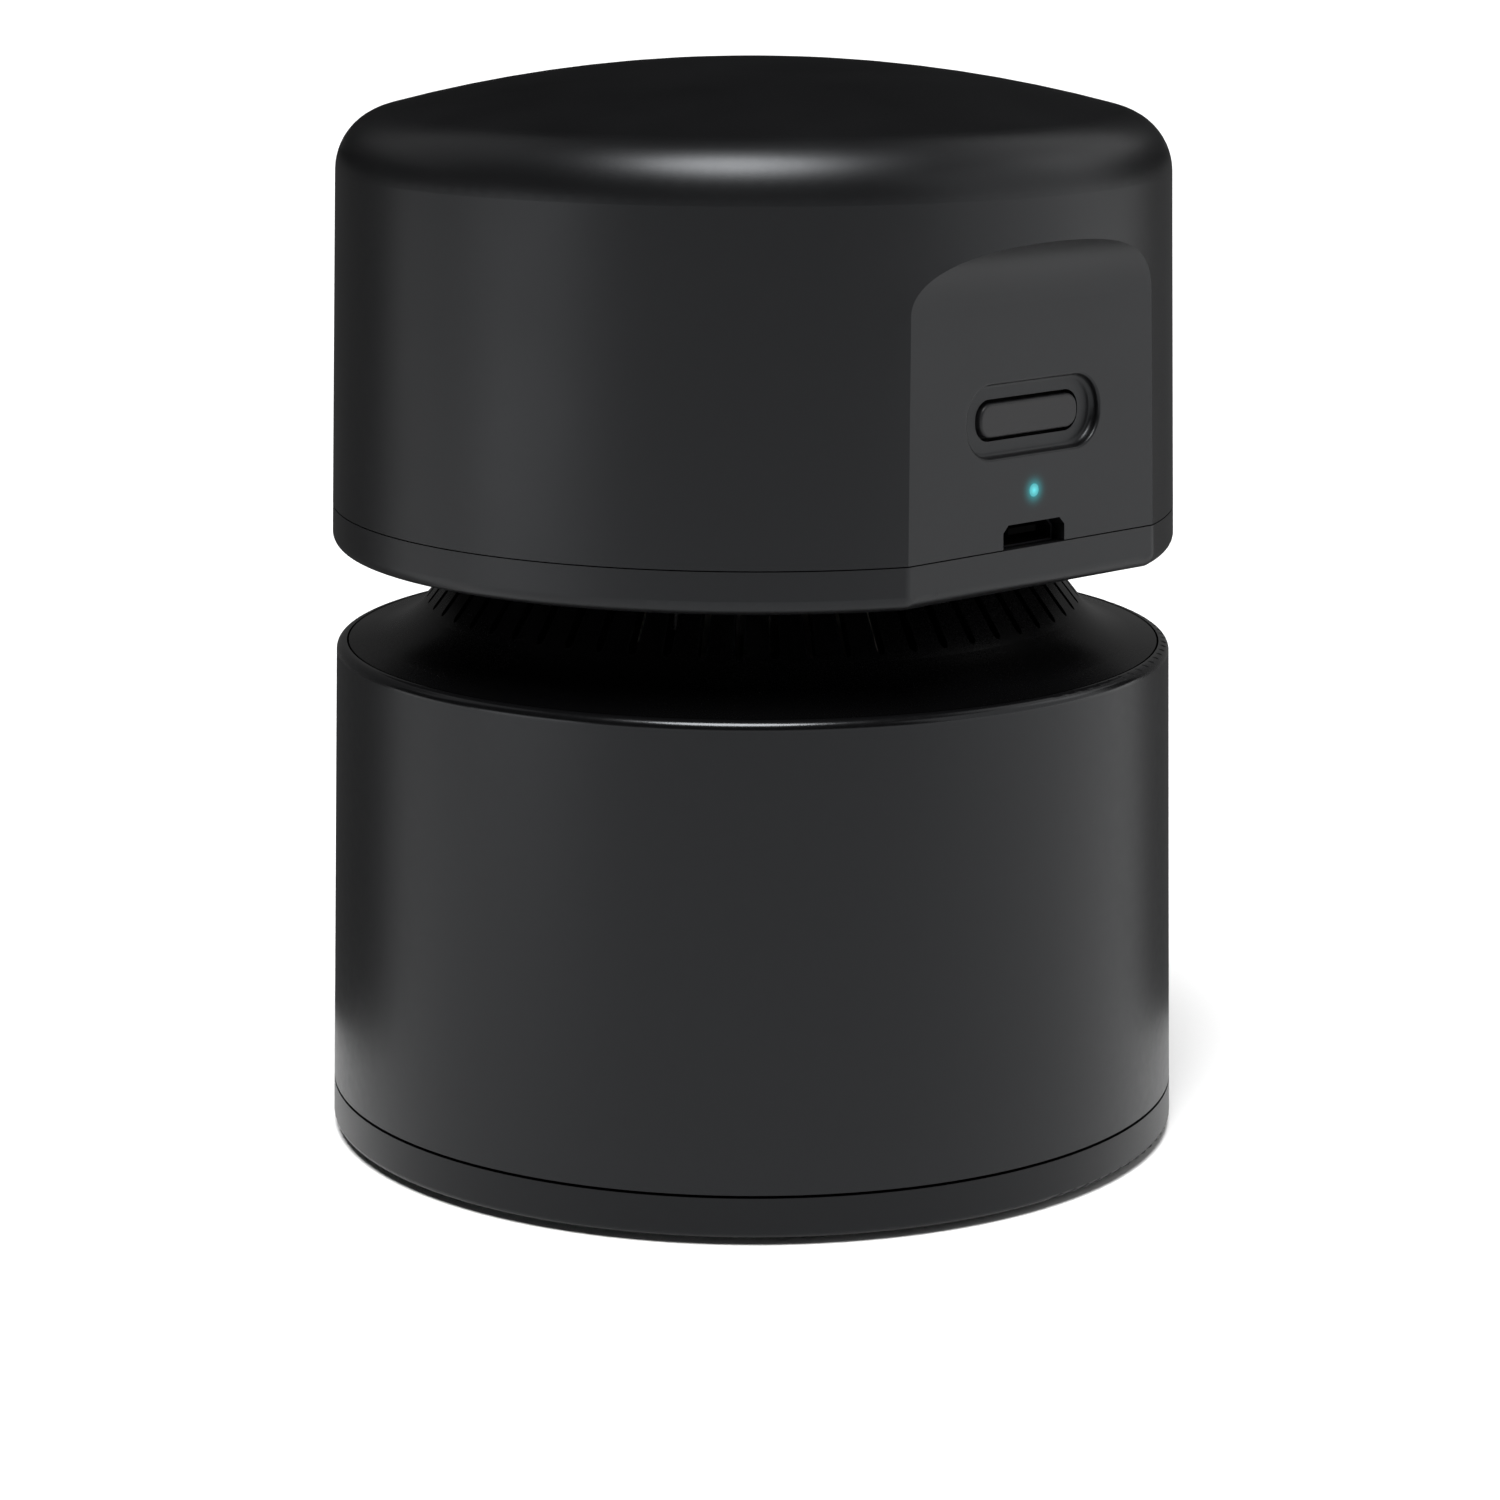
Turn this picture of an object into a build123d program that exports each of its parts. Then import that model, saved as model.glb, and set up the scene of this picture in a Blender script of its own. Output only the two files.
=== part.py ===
from build123d import *
from math import cos, radians, sin, tan
import os

# Desktop mini vacuum cleaner. Millimetres, +Z up, origin on the desk under the middle of the base.
# The control panel (button, lamp and USB socket) faces -Y.

# ---- driving dimensions: the outside ----
BASE_UNDER_Z = 0.8          # underside of the base; the bristles reach down to the desk at 0
BASE_SEAM_Z = 4.9
CUP_RIM_Z = 50.7
HEAD_UNDER_Z = 60.6
HEAD_SEAM_Z = 64.8
TOP_Z = 109.1

CUP_SEAM_R = 43.44          # drum radius at the base seam
CUP_RIM_R = 42.42           # drum radius at the rim of the dust cup
HEAD_SEAM_R = 42.56
HEAD_LEAN = 1.36            # degrees the head's side leans in
CROWN_R = 144.5             # radius of the domed top
CROWN_EDGE_R = 6.3
HEAD_UNDER_EDGE_R = 1.4
BASE_EDGE_R = 0.5
CUP_EDGE_R = 0.9
WALL = 2.2                  # head shells
CUP_WALL = 2.0

BASE_SEAM_GAP = 0.3
HEAD_SEAM_GAP = 0.12

# ---- driving dimensions: the control panel ----
PANEL_Y = 39.02             # distance of the flat panel from the axis, at the head seam
PANEL_LEAN = 1.0            # degrees
PANEL_FLAT = 23.3           # height of the flat above the head seam
PANEL_SCOOP_R = 7.0
PANEL_WALL = 2.4
RECESS_LENGTH = 18.2
RECESS_HEIGHT = 7.0
RECESS_CORNER_R = 3.35
RECESS_DEPTH = 1.0
RECESS_FLOOR_R = 0.5
RECESS_RIM_R = 0.25
BUTTON_HOLE_LENGTH = 14.1
BUTTON_HOLE_HEIGHT = 4.0
BUTTON_HOLE_CORNER_R = 1.8
BUTTON_GAP = 0.35
BUTTON_EDGE_R = 0.3
BUTTON_PROUD = 0.4          # button face above the floor of the recess
BUTTON_Z = HEAD_SEAM_Z + 12.45
LAMP_Z = HEAD_SEAM_Z + 5.4
LAMP_R = 0.62
USB_NOTCH_WIDTH = 8.5
USB_NOTCH_HEIGHT = 2.4
USB_NOTCH_CORNER = 0.7
USB_MOUTH_DEPTH = 1.2       # how far the socket's mouth sits behind the panel

# ---- driving dimensions: the waist ----
NECK_TOP_R = 28.7
NECK_CORNER_R = 35.6        # where the straight neck and the shoulder ring would meet
NECK_CORNER_Z = 51.8
NECK_FLARE_R = 8.0          # the flare that rounds that corner
SHOULDER_R = 41.2
SHOULDER_Z = CUP_RIM_Z
SHOULDER_GAP = 0.2          # gap round the shoulder's edge
SLOT_COUNT = 60
SLOT_WIDTH = 0.9
SLOT_TURN = 2.44            # degrees from the panel's middle to the first slot beside it
SLOT_IN_R = 27.6
SLOT_OUT_R = 33.3

# ---- driving dimensions: twist lock between the head and the cup ----
SKIRT_OUTER_R = 40.0
SKIRT_INNER_R = 37.6
SKIRT_LOW_Z = 45.6
LOCK_TURN = 45.0            # degrees the head turns to come free
LOCK_RISE = 3.0             # height it climbs meanwhile
LUG_START = 30.0            # angle of the first of three lugs
LUG_LOW_Z = 47.1
LUG_HEIGHT = 1.4
LUG_INNER_R = 38.9
LUG_WIDTH = 4.0
LUG_PLAY = 0.45             # above and below a lug in its groove
LUG_SIDE_PLAY = 0.6

# ---- driving dimensions: works ----
FLOOR = 2.0                 # floor of the head base
SCREW_R = 0.95              # bore for a thread-forming screw
SCREW_PLAY = 0.1            # a through hole is this much wider in radius
SHANK_PLAY = 0.02           # a shank is this much smaller than its bore in radius
SHAFT_R = 1.0
MOTOR_R = 12.2
MOTOR_LOW_Z = HEAD_UNDER_Z + FLOOR + 0.8
MOTOR_CAN_LENGTH = 17.0
IMPELLER_R = 21.5
IMPELLER_LOW_Z = 51.0
IMPELLER_TOP_Z = 58.2
BLADE_COUNT = 9
FAN_PLATE_Z = 48.3
FAN_PLATE = 1.6
CELL_R = 9.2
CELL_LENGTH = 65.3
CELL_Z = 93.2
BOARD_Y = -29.2             # back face of the control board
BOARD_THICKNESS = 1.2
WIRE_R = 0.65

os.makedirs("parts", exist_ok=True)


def finish(builder, label):
    """Label a finished sub-part and write its STEP file."""
    builder.part.label = label
    export_step(builder.part, f"parts/{label}.step")


def section(r_in, r_out, z_low, z_high, mode=Mode.ADD):
    """Rectangle in the radius-height plane, for revolving about Z."""
    with Locations(((r_in + r_out) / 2, (z_low + z_high) / 2)):
        Rectangle(r_out - r_in, z_high - z_low, mode=mode)


def head_radius(z):
    """Outer radius of the head's leaning side at height z."""
    return HEAD_SEAM_R - (z - HEAD_SEAM_Z) * tan(radians(HEAD_LEAN))


def cup_radius(z):
    """Outer radius of the dust cup's leaning side, carried on through the base."""
    return CUP_RIM_R + (CUP_RIM_Z - z) * (CUP_SEAM_R - CUP_RIM_R) / (CUP_RIM_Z - BASE_SEAM_Z)


def panel_y(z):
    """Y of the flat control panel at height z."""
    return -(PANEL_Y - (z - HEAD_SEAM_Z) * tan(radians(PANEL_LEAN)))


def top_rim(builder):
    """Highest full circle among a body's edges."""
    rims = builder.edges().filter_by(GeomType.CIRCLE).filter_by(lambda edge: edge.is_closed)
    return rims.sort_by(Axis.Z)[-1]


def polar(radius, angle):
    """X and Y of a point at a radius and an angle in degrees."""
    return radius * cos(radians(angle)), radius * sin(radians(angle))


def panel_cutter(inset):
    """Block outside the control panel, with the scoop that curls out at the panel's top."""
    flat_z = HEAD_SEAM_Z + PANEL_FLAT
    low_z = HEAD_UNDER_Z - 5
    outside = -HEAD_SEAM_R - 10
    with BuildPart() as cutter:
        with BuildSketch(Plane.YZ):
            with BuildLine():
                flat = Line((panel_y(low_z) + inset, low_z), (panel_y(flat_z) + inset, flat_z))
                scoop = JernArc(flat @ 1, flat % 1, PANEL_SCOOP_R + inset, 90 - PANEL_LEAN)
                Polyline(scoop @ 1, (outside, (scoop @ 1).Y), (outside, low_z), flat @ 0)
            make_face()
        extrude(amount=HEAD_SEAM_R, both=True)
    return cutter.part


panel_outside = panel_cutter(0)
panel_inside = panel_cutter(PANEL_WALL)

# ---- head: domed cover ----
HEAD_BOSS_AT = 34.0
HEAD_BOSS_START = 45        # angle of the first of four bosses
HEAD_BOSS_R = 3.1
HEAD_BOSS_TOP = 78.7
HEAD_BOSS_BORE = 12.0
BOSS_RIB_LENGTH = 5.4
BOSS_RIB = 1.6
FLOOR_TOP_Z = HEAD_UNDER_Z + FLOOR
LIP_TOP_Z = HEAD_SEAM_Z + 2.0
BOARD_POST_X = 12.0
BOARD_POST_Z = 80.7
BOARD_POST_R = 2.1
BOARD_SCREW_R = 0.75
BOARD_SCREW_DEPTH = 4.5
CUT_FROM = 30               # the panel's openings are cut outwards from this distance
CUT_LENGTH = 12
board_front = BOARD_Y - BOARD_THICKNESS
board_posts = [(-BOARD_POST_X, BOARD_POST_Z), (BOARD_POST_X, BOARD_POST_Z)]
recess_floor = -panel_y(BUTTON_Z) - RECESS_DEPTH

with BuildPart() as cover_cavity:
    with BuildSketch(Plane.XZ):
        Polygon(
            (0, HEAD_SEAM_Z),
            (HEAD_SEAM_R - WALL, HEAD_SEAM_Z),
            (head_radius(TOP_Z) - WALL, TOP_Z),
            (0, TOP_Z),
        )
    revolve(axis=Axis.Z)
    with Locations((0, 0, TOP_Z - CROWN_R)):
        Sphere(CROWN_R - WALL, mode=Mode.INTERSECT)
    fillet(top_rim(cover_cavity), CROWN_EDGE_R - WALL)
    add(panel_inside, mode=Mode.SUBTRACT)

with BuildPart() as recess_cutter:
    with BuildSketch(Plane.XZ.offset(recess_floor)):
        with Locations((0, BUTTON_Z)):
            RectangleRounded(RECESS_LENGTH, RECESS_HEIGHT, RECESS_CORNER_R)
    extrude(amount=RECESS_DEPTH + 2)
    fillet(recess_cutter.faces().sort_by(Axis.Y)[-1].edges(), RECESS_FLOOR_R)

with BuildPart() as dome_cover:
    with BuildSketch(Plane.XZ):
        Polygon(
            (0, HEAD_SEAM_Z + HEAD_SEAM_GAP),
            (HEAD_SEAM_R, HEAD_SEAM_Z + HEAD_SEAM_GAP),
            (head_radius(TOP_Z), TOP_Z),
            (0, TOP_Z),
        )
    revolve(axis=Axis.Z)
    with Locations((0, 0, TOP_Z - CROWN_R)):
        Sphere(CROWN_R, mode=Mode.INTERSECT)
    fillet(top_rim(dome_cover), CROWN_EDGE_R)
    add(panel_outside, mode=Mode.SUBTRACT)
    add(cover_cavity.part, mode=Mode.SUBTRACT)
    # screw bosses, each tied to the wall by a rib
    with BuildSketch(Plane.XY.offset(FLOOR_TOP_Z + 0.1)):
        with PolarLocations(HEAD_BOSS_AT, 4, start_angle=HEAD_BOSS_START):
            Circle(HEAD_BOSS_R)
    extrude(amount=HEAD_BOSS_TOP - FLOOR_TOP_Z - 0.1)
    with BuildSketch(Plane.XY.offset(LIP_TOP_Z + 0.4)):
        with PolarLocations(HEAD_BOSS_AT + HEAD_BOSS_R + 1, 4, start_angle=HEAD_BOSS_START):
            Rectangle(BOSS_RIB_LENGTH, BOSS_RIB)
    extrude(amount=HEAD_BOSS_TOP - LIP_TOP_Z - 0.4)
    with BuildSketch(Plane.XY.offset(FLOOR_TOP_Z)):
        with PolarLocations(HEAD_BOSS_AT, 4, start_angle=HEAD_BOSS_START):
            Circle(SCREW_R)
    extrude(amount=HEAD_BOSS_BORE, mode=Mode.SUBTRACT)
    # posts that hold the control board
    with BuildSketch(Plane.XZ.offset(-board_front)):
        with Locations(*board_posts):
            Circle(BOARD_POST_R)
    extrude(amount=-panel_y(BOARD_POST_Z) + board_front - PANEL_WALL / 2)
    with BuildSketch(Plane.XZ.offset(-board_front)):
        with Locations(*board_posts):
            Circle(BOARD_SCREW_R)
    extrude(amount=BOARD_SCREW_DEPTH, mode=Mode.SUBTRACT)
    # button recess with a rounded rim, button hole, lamp hole, USB notch
    add(recess_cutter.part, mode=Mode.SUBTRACT)
    panel_face = dome_cover.faces().filter_by(GeomType.PLANE).sort_by(Axis.Y)[0]
    recess_rim = panel_face.inner_wires().sort_by(SortBy.LENGTH)[-1]
    fillet(recess_rim.edges(), RECESS_RIM_R)
    with BuildSketch(Plane.XZ.offset(CUT_FROM)):
        with Locations((0, BUTTON_Z)):
            RectangleRounded(BUTTON_HOLE_LENGTH, BUTTON_HOLE_HEIGHT, BUTTON_HOLE_CORNER_R)
        with Locations((0, LAMP_Z)):
            Circle(LAMP_R + 0.03)
    extrude(amount=CUT_LENGTH, mode=Mode.SUBTRACT)
    with BuildSketch(Plane.XZ.offset(CUT_FROM)):
        half, top = USB_NOTCH_WIDTH / 2, HEAD_SEAM_Z + USB_NOTCH_HEIGHT
        Polygon(
            (-half, HEAD_SEAM_Z - 1),
            (half, HEAD_SEAM_Z - 1),
            (half, top - USB_NOTCH_CORNER),
            (half - USB_NOTCH_CORNER, top),
            (USB_NOTCH_CORNER - half, top),
            (-half, top - USB_NOTCH_CORNER),
        )
    extrude(amount=CUT_LENGTH, mode=Mode.SUBTRACT)
finish(dome_cover, "dome_cover")

# ---- head: base ring with the floor that carries the motor ----
MOTOR_SCREW_AT = 8.0
CRADLE_LEG_AT = 31.0
COLLAR_SCREW_AT = 25.5
COLLAR_SCREW_START = 90     # angle of the first of three collar screws
HEAD_RECESS_R = HEAD_SEAM_R - WALL - 0.3
LIP = 1.5                   # thickness of a locating lip
LIP_END_Y = 32.0            # the lip stops short of the panel
NOSE_HOLE_R = 3.5
COUNTERBORE = 1.1
WIDE_COUNTERBORE_R = 2.4
SMALL_COUNTERBORE_R = 2.0

with BuildPart() as base_cavity:
    with BuildSketch(Plane.XY.offset(FLOOR_TOP_Z)):
        Circle(HEAD_RECESS_R)
    extrude(amount=10)
    add(panel_inside, mode=Mode.SUBTRACT)

with BuildPart() as locating_lip:
    with BuildSketch(Plane.XZ):
        section(HEAD_RECESS_R - LIP, HEAD_RECESS_R, FLOOR_TOP_Z, LIP_TOP_Z)
    revolve(axis=Axis.Z)
    with BuildSketch(Plane.XY.offset(FLOOR_TOP_Z - 1)):
        with Locations((0, -HEAD_SEAM_R)):
            Rectangle(2 * HEAD_SEAM_R, 2 * (HEAD_SEAM_R - LIP_END_Y))
    extrude(amount=10, mode=Mode.SUBTRACT)

with BuildPart() as head_base:
    with BuildSketch(Plane.XZ):
        Polygon(
            (0, HEAD_UNDER_Z),
            (head_radius(HEAD_UNDER_Z), HEAD_UNDER_Z),
            (HEAD_SEAM_R, HEAD_SEAM_Z),
            (0, HEAD_SEAM_Z),
        )
    revolve(axis=Axis.Z)
    fillet(head_base.edges().filter_by(GeomType.CIRCLE).sort_by(Axis.Z)[0], HEAD_UNDER_EDGE_R)
    add(panel_outside, mode=Mode.SUBTRACT)
    under_edge = head_base.faces().sort_by(Axis.Z)[0].edges().filter_by(GeomType.LINE)
    fillet(under_edge, HEAD_UNDER_EDGE_R)
    add(base_cavity.part, mode=Mode.SUBTRACT)
    add(locating_lip.part)
    with BuildSketch(Plane.XY.offset(HEAD_UNDER_Z)):
        Circle(NOSE_HOLE_R)
        with PolarLocations(HEAD_BOSS_AT, 4, start_angle=HEAD_BOSS_START):
            Circle(SCREW_R + SCREW_PLAY)
        with PolarLocations(COLLAR_SCREW_AT, 3, start_angle=COLLAR_SCREW_START):
            Circle(SCREW_R + SCREW_PLAY)
        with PolarLocations(MOTOR_SCREW_AT, 2):
            Circle(SCREW_R + SCREW_PLAY)
        with PolarLocations(CRADLE_LEG_AT, 2):
            Circle(SCREW_R + SCREW_PLAY)
    extrude(amount=FLOOR, mode=Mode.SUBTRACT)
    with BuildSketch(Plane.XY.offset(HEAD_UNDER_Z)):
        with PolarLocations(HEAD_BOSS_AT, 4, start_angle=HEAD_BOSS_START):
            Circle(WIDE_COUNTERBORE_R)
        with PolarLocations(MOTOR_SCREW_AT, 2):
            Circle(SMALL_COUNTERBORE_R)
        with PolarLocations(CRADLE_LEG_AT, 2):
            Circle(SMALL_COUNTERBORE_R)
    extrude(amount=COUNTERBORE, mode=Mode.SUBTRACT)
finish(head_base, "head_base")

# ---- waist: slotted neck, shoulder ring and the skirt that plugs into the cup ----
REBATE_Z = SHOULDER_Z - 0.75
COLLAR_FLANGE_Z = HEAD_UNDER_Z - 1.6
COLLAR_FLANGE_R = 22.2
COLLAR_INSIDE = [(SKIRT_INNER_R, 49.95), (34.9, 50.45), (31.9, 53.9), (28.0, COLLAR_FLANGE_Z)]
COLLAR_BOSS_Z = 56.2
COLLAR_BOSS_R = 2.2
FAN_PLATE_BOSS_AT = 33.0
FAN_PLATE_BOSS_R = 2.0
FAN_PLATE_BOSS = 2.7
FAN_PLATE_BORE = 2.2
FAN_PLATE_SCREW_START = 30  # angle of the first of three fan plate screws
FAN_PLATE_TOP_Z = FAN_PLATE_Z + FAN_PLATE
SLOT_TOP = 0.9              # the slots stop this far below the head
GROOVE_STEPS = 18
GROOVE_DEPTH = 3.2

with BuildPart() as lock_groove:
    # One helical channel: the lug's box repeated along the turn, as the head sees it.
    for step in range(GROOVE_STEPS + 1):
        share = step / GROOVE_STEPS
        with BuildSketch(Plane.XY.offset(LUG_LOW_Z - LUG_PLAY - LOCK_RISE * share)):
            with PolarLocations(SKIRT_OUTER_R, 1, start_angle=-LOCK_TURN * share):
                Rectangle(GROOVE_DEPTH, LUG_WIDTH + 2 * LUG_SIDE_PLAY)
        extrude(amount=LUG_HEIGHT + 2 * LUG_PLAY)

with BuildPart() as vent_collar:
    with BuildSketch(Plane.XZ):
        Polygon(
            (NECK_TOP_R, HEAD_UNDER_Z),
            (NECK_CORNER_R, NECK_CORNER_Z),
            (SHOULDER_R, SHOULDER_Z),
            (SHOULDER_R, REBATE_Z),
            (SKIRT_OUTER_R, REBATE_Z),
            (SKIRT_OUTER_R, SKIRT_LOW_Z),
            (SKIRT_INNER_R, SKIRT_LOW_Z),
            *COLLAR_INSIDE,
            (COLLAR_FLANGE_R, COLLAR_FLANGE_Z),
            (COLLAR_FLANGE_R, HEAD_UNDER_Z),
        )
        fillet(vertices().sort_by_distance((NECK_CORNER_R, NECK_CORNER_Z))[0], NECK_FLARE_R)
    revolve(axis=Axis.Z)
    # exhaust slots
    with BuildSketch(Plane.XY.offset(SHOULDER_Z)):
        with PolarLocations((SLOT_IN_R + SLOT_OUT_R) / 2, SLOT_COUNT, start_angle=-90 + SLOT_TURN):
            SlotOverall(SLOT_OUT_R - SLOT_IN_R, SLOT_WIDTH)
    extrude(amount=HEAD_UNDER_Z - SLOT_TOP - SHOULDER_Z, mode=Mode.SUBTRACT)
    # bosses: three under the top flange, three under the shoulder
    with BuildSketch(Plane.XY.offset(COLLAR_BOSS_Z)):
        with PolarLocations(COLLAR_SCREW_AT, 3, start_angle=COLLAR_SCREW_START):
            Circle(COLLAR_BOSS_R)
    extrude(amount=HEAD_UNDER_Z - COLLAR_BOSS_Z)
    with BuildSketch(Plane.XY.offset(FAN_PLATE_TOP_Z)):
        with PolarLocations(FAN_PLATE_BOSS_AT, 3, start_angle=FAN_PLATE_SCREW_START):
            Circle(FAN_PLATE_BOSS_R)
    extrude(amount=FAN_PLATE_BOSS)
    with BuildSketch(Plane.XY.offset(COLLAR_BOSS_Z + 0.6)):
        with PolarLocations(COLLAR_SCREW_AT, 3, start_angle=COLLAR_SCREW_START):
            Circle(SCREW_R)
    extrude(amount=HEAD_UNDER_Z - COLLAR_BOSS_Z, mode=Mode.SUBTRACT)
    with BuildSketch(Plane.XY.offset(FAN_PLATE_TOP_Z)):
        with PolarLocations(FAN_PLATE_BOSS_AT, 3, start_angle=FAN_PLATE_SCREW_START):
            Circle(SCREW_R)
    extrude(amount=FAN_PLATE_BORE, mode=Mode.SUBTRACT)
    with PolarLocations(0, 3, start_angle=LUG_START):
        add(lock_groove.part, mode=Mode.SUBTRACT)
finish(vent_collar, "vent_collar")

# ---- fan plate: shroud with the eye, and the socket for the filter below it ----
EYE_R = 9.5
EYE_RIM = 1.2
EYE_RIM_HEIGHT = 0.7
FILTER_SOCKET_R = 29.4
FILTER_SOCKET = 1.4
FILTER_SOCKET_Z = 44.9

with BuildPart() as fan_plate:
    with BuildSketch(Plane.XZ):
        section(EYE_R, SKIRT_INNER_R - 0.2, FAN_PLATE_Z, FAN_PLATE_TOP_Z)
        section(FILTER_SOCKET_R, FILTER_SOCKET_R + FILTER_SOCKET, FILTER_SOCKET_Z, FAN_PLATE_Z)
        section(EYE_R, EYE_R + EYE_RIM, FAN_PLATE_Z, FAN_PLATE_TOP_Z + EYE_RIM_HEIGHT)
    revolve(axis=Axis.Z)
    with BuildSketch(Plane.XY.offset(FAN_PLATE_Z)):
        with PolarLocations(FAN_PLATE_BOSS_AT, 3, start_angle=FAN_PLATE_SCREW_START):
            Circle(SCREW_R + SCREW_PLAY)
    extrude(amount=FAN_PLATE, mode=Mode.SUBTRACT)
finish(fan_plate, "fan_plate")

# ---- motor ----
NOSE_LOW_Z = 61.7
NOSE_R = 3.1
NOSE_WALL = 0.45
CAN_WALL = 0.8
CAN_EDGE_R = 0.7
BUSHING = 3.0
CAP = 1.6
CAP_PLUG = 1.0
TERMINAL_Y = 8.3
TERMINAL_TOP_Z = 85.7
TERMINAL_WIDTH = 2.4
TERMINAL_THICKNESS = 0.5
BRUSH_Y = 5.8
MAGNET_LOW_Z = MOTOR_LOW_Z + 2.0
MAGNET_INNER_R = 9.4
MAGNET_GAP = 8.0
MAGNET_LENGTH = 12.0
RUNNING_FIT = 0.05
can_top = MOTOR_LOW_Z + MOTOR_CAN_LENGTH
cap_bore_top = can_top + 1.2
SHAFT_TOP_Z = can_top + 1.0
terminals = [(0, TERMINAL_Y), (0, -TERMINAL_Y)]

with BuildPart() as motor_gasket:
    with BuildSketch(Plane.XY.offset(FLOOR_TOP_Z)):
        Circle(MOTOR_R)
        Circle(NOSE_HOLE_R, mode=Mode.SUBTRACT)
        with PolarLocations(MOTOR_SCREW_AT, 2):
            Circle(SCREW_R + SCREW_PLAY, mode=Mode.SUBTRACT)
    extrude(amount=MOTOR_LOW_Z - FLOOR_TOP_Z)
finish(motor_gasket, "motor_gasket")

with BuildPart() as motor_can:
    with BuildSketch(Plane.XZ):
        section(NOSE_R - NOSE_WALL, MOTOR_R, MOTOR_LOW_Z, MOTOR_LOW_Z + CAN_WALL)
        section(NOSE_R - NOSE_WALL, NOSE_R, NOSE_LOW_Z, MOTOR_LOW_Z)
        section(MOTOR_R - CAN_WALL, MOTOR_R, MOTOR_LOW_Z, can_top)
        fillet(vertices().sort_by_distance((MOTOR_R, MOTOR_LOW_Z))[0], CAN_EDGE_R)
    revolve(axis=Axis.Z)
    with BuildSketch(Plane.XY.offset(MOTOR_LOW_Z)):
        with PolarLocations(MOTOR_SCREW_AT, 2):
            Circle(SCREW_R)
    extrude(amount=CAN_WALL, mode=Mode.SUBTRACT)
finish(motor_can, "motor_can")

with BuildPart() as motor_magnets:
    with BuildSketch(Plane.XY.offset(MAGNET_LOW_Z)):
        Circle(MOTOR_R - CAN_WALL)
        Circle(MAGNET_INNER_R, mode=Mode.SUBTRACT)
        Rectangle(2 * MOTOR_R, MAGNET_GAP, mode=Mode.SUBTRACT)
    extrude(amount=MAGNET_LENGTH)
finish(motor_magnets, "motor_magnets")

with BuildPart() as motor_bushings:
    with BuildSketch(Plane.XZ):
        section(SHAFT_R + RUNNING_FIT, NOSE_R - NOSE_WALL, NOSE_LOW_Z, NOSE_LOW_Z + BUSHING)
        section(SHAFT_R + RUNNING_FIT, NOSE_R - NOSE_WALL, can_top - 0.9, cap_bore_top)
    revolve(axis=Axis.Z)
finish(motor_bushings, "motor_bushings")

with BuildPart() as motor_end_cap:
    with BuildSketch(Plane.XZ):
        section(0, MOTOR_R, can_top, can_top + CAP)
        section(0, MOTOR_R - CAN_WALL, can_top - CAP_PLUG, can_top)
        section(0, NOSE_R - NOSE_WALL, can_top - CAP_PLUG, cap_bore_top, mode=Mode.SUBTRACT)
    revolve(axis=Axis.Z)
    with BuildSketch(Plane.XY.offset(can_top - CAP_PLUG)):
        with Locations(*terminals):
            Rectangle(TERMINAL_WIDTH, TERMINAL_THICKNESS)
    extrude(amount=CAP + CAP_PLUG, mode=Mode.SUBTRACT)
finish(motor_end_cap, "motor_end_cap")

with BuildPart() as motor_terminals:
    # tab through the end cap, and the brush arm that reaches in to the commutator
    brush_z = can_top - CAP_PLUG - 1.4
    with BuildSketch(Plane.XY.offset(brush_z)):
        with Locations(*terminals):
            Rectangle(TERMINAL_WIDTH, TERMINAL_THICKNESS)
    extrude(amount=TERMINAL_TOP_Z - brush_z)
    with BuildSketch(Plane.XY.offset(brush_z)):
        with Locations((0, BRUSH_Y), (0, -BRUSH_Y)):
            Rectangle(1.6, 5.0)
    extrude(amount=0.4)
finish(motor_terminals, "motor_terminals")

# ---- rotor: shaft, armature, commutator and impeller ----
SHAFT_LOW_Z = IMPELLER_LOW_Z + 0.4
CORE_Z = 66.9
CORE_LENGTH = 7.4
CORE_R = 8.9
POLE_SLOT_AT = 7.2
POLE_MOUTH_AT = 9.0
WINDING = 0.8               # how far the windings stand out above and below the core
COMMUTATOR_Z = 75.9
COMMUTATOR_LENGTH = 2.9
COMMUTATOR_R = 2.9

with BuildPart() as motor_shaft:
    with BuildSketch(Plane.XY.offset(SHAFT_LOW_Z)):
        Circle(SHAFT_R)
    extrude(amount=SHAFT_TOP_Z - SHAFT_LOW_Z)
finish(motor_shaft, "motor_shaft")

with BuildPart() as motor_armature:
    # three laminated poles, each with a winding round its neck
    with BuildSketch(Plane.XY.offset(CORE_Z)):
        Circle(CORE_R)
        with PolarLocations(POLE_SLOT_AT, 3, start_angle=60):
            SlotOverall(6.4, 2.0, rotation=90, mode=Mode.SUBTRACT)
        with PolarLocations(POLE_MOUTH_AT, 3, start_angle=60):
            Rectangle(4, 1.4, mode=Mode.SUBTRACT)
        Circle(SHAFT_R, mode=Mode.SUBTRACT)
    extrude(amount=CORE_LENGTH)
    with BuildSketch(Plane.XY.offset(CORE_Z - WINDING)):
        with PolarLocations(5.0, 3):
            Rectangle(3.4, 5.4)
        Circle(2.6)
        Circle(SHAFT_R, mode=Mode.SUBTRACT)
    extrude(amount=CORE_LENGTH + 2 * WINDING)
finish(motor_armature, "motor_armature")

with BuildPart() as motor_commutator:
    with BuildSketch(Plane.XY.offset(COMMUTATOR_Z)):
        Circle(COMMUTATOR_R)
        with PolarLocations(COMMUTATOR_R, 3):
            Rectangle(0.8, 0.3, mode=Mode.SUBTRACT)
        Circle(SHAFT_R, mode=Mode.SUBTRACT)
    extrude(amount=COMMUTATOR_LENGTH)
finish(motor_commutator, "motor_commutator")

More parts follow.
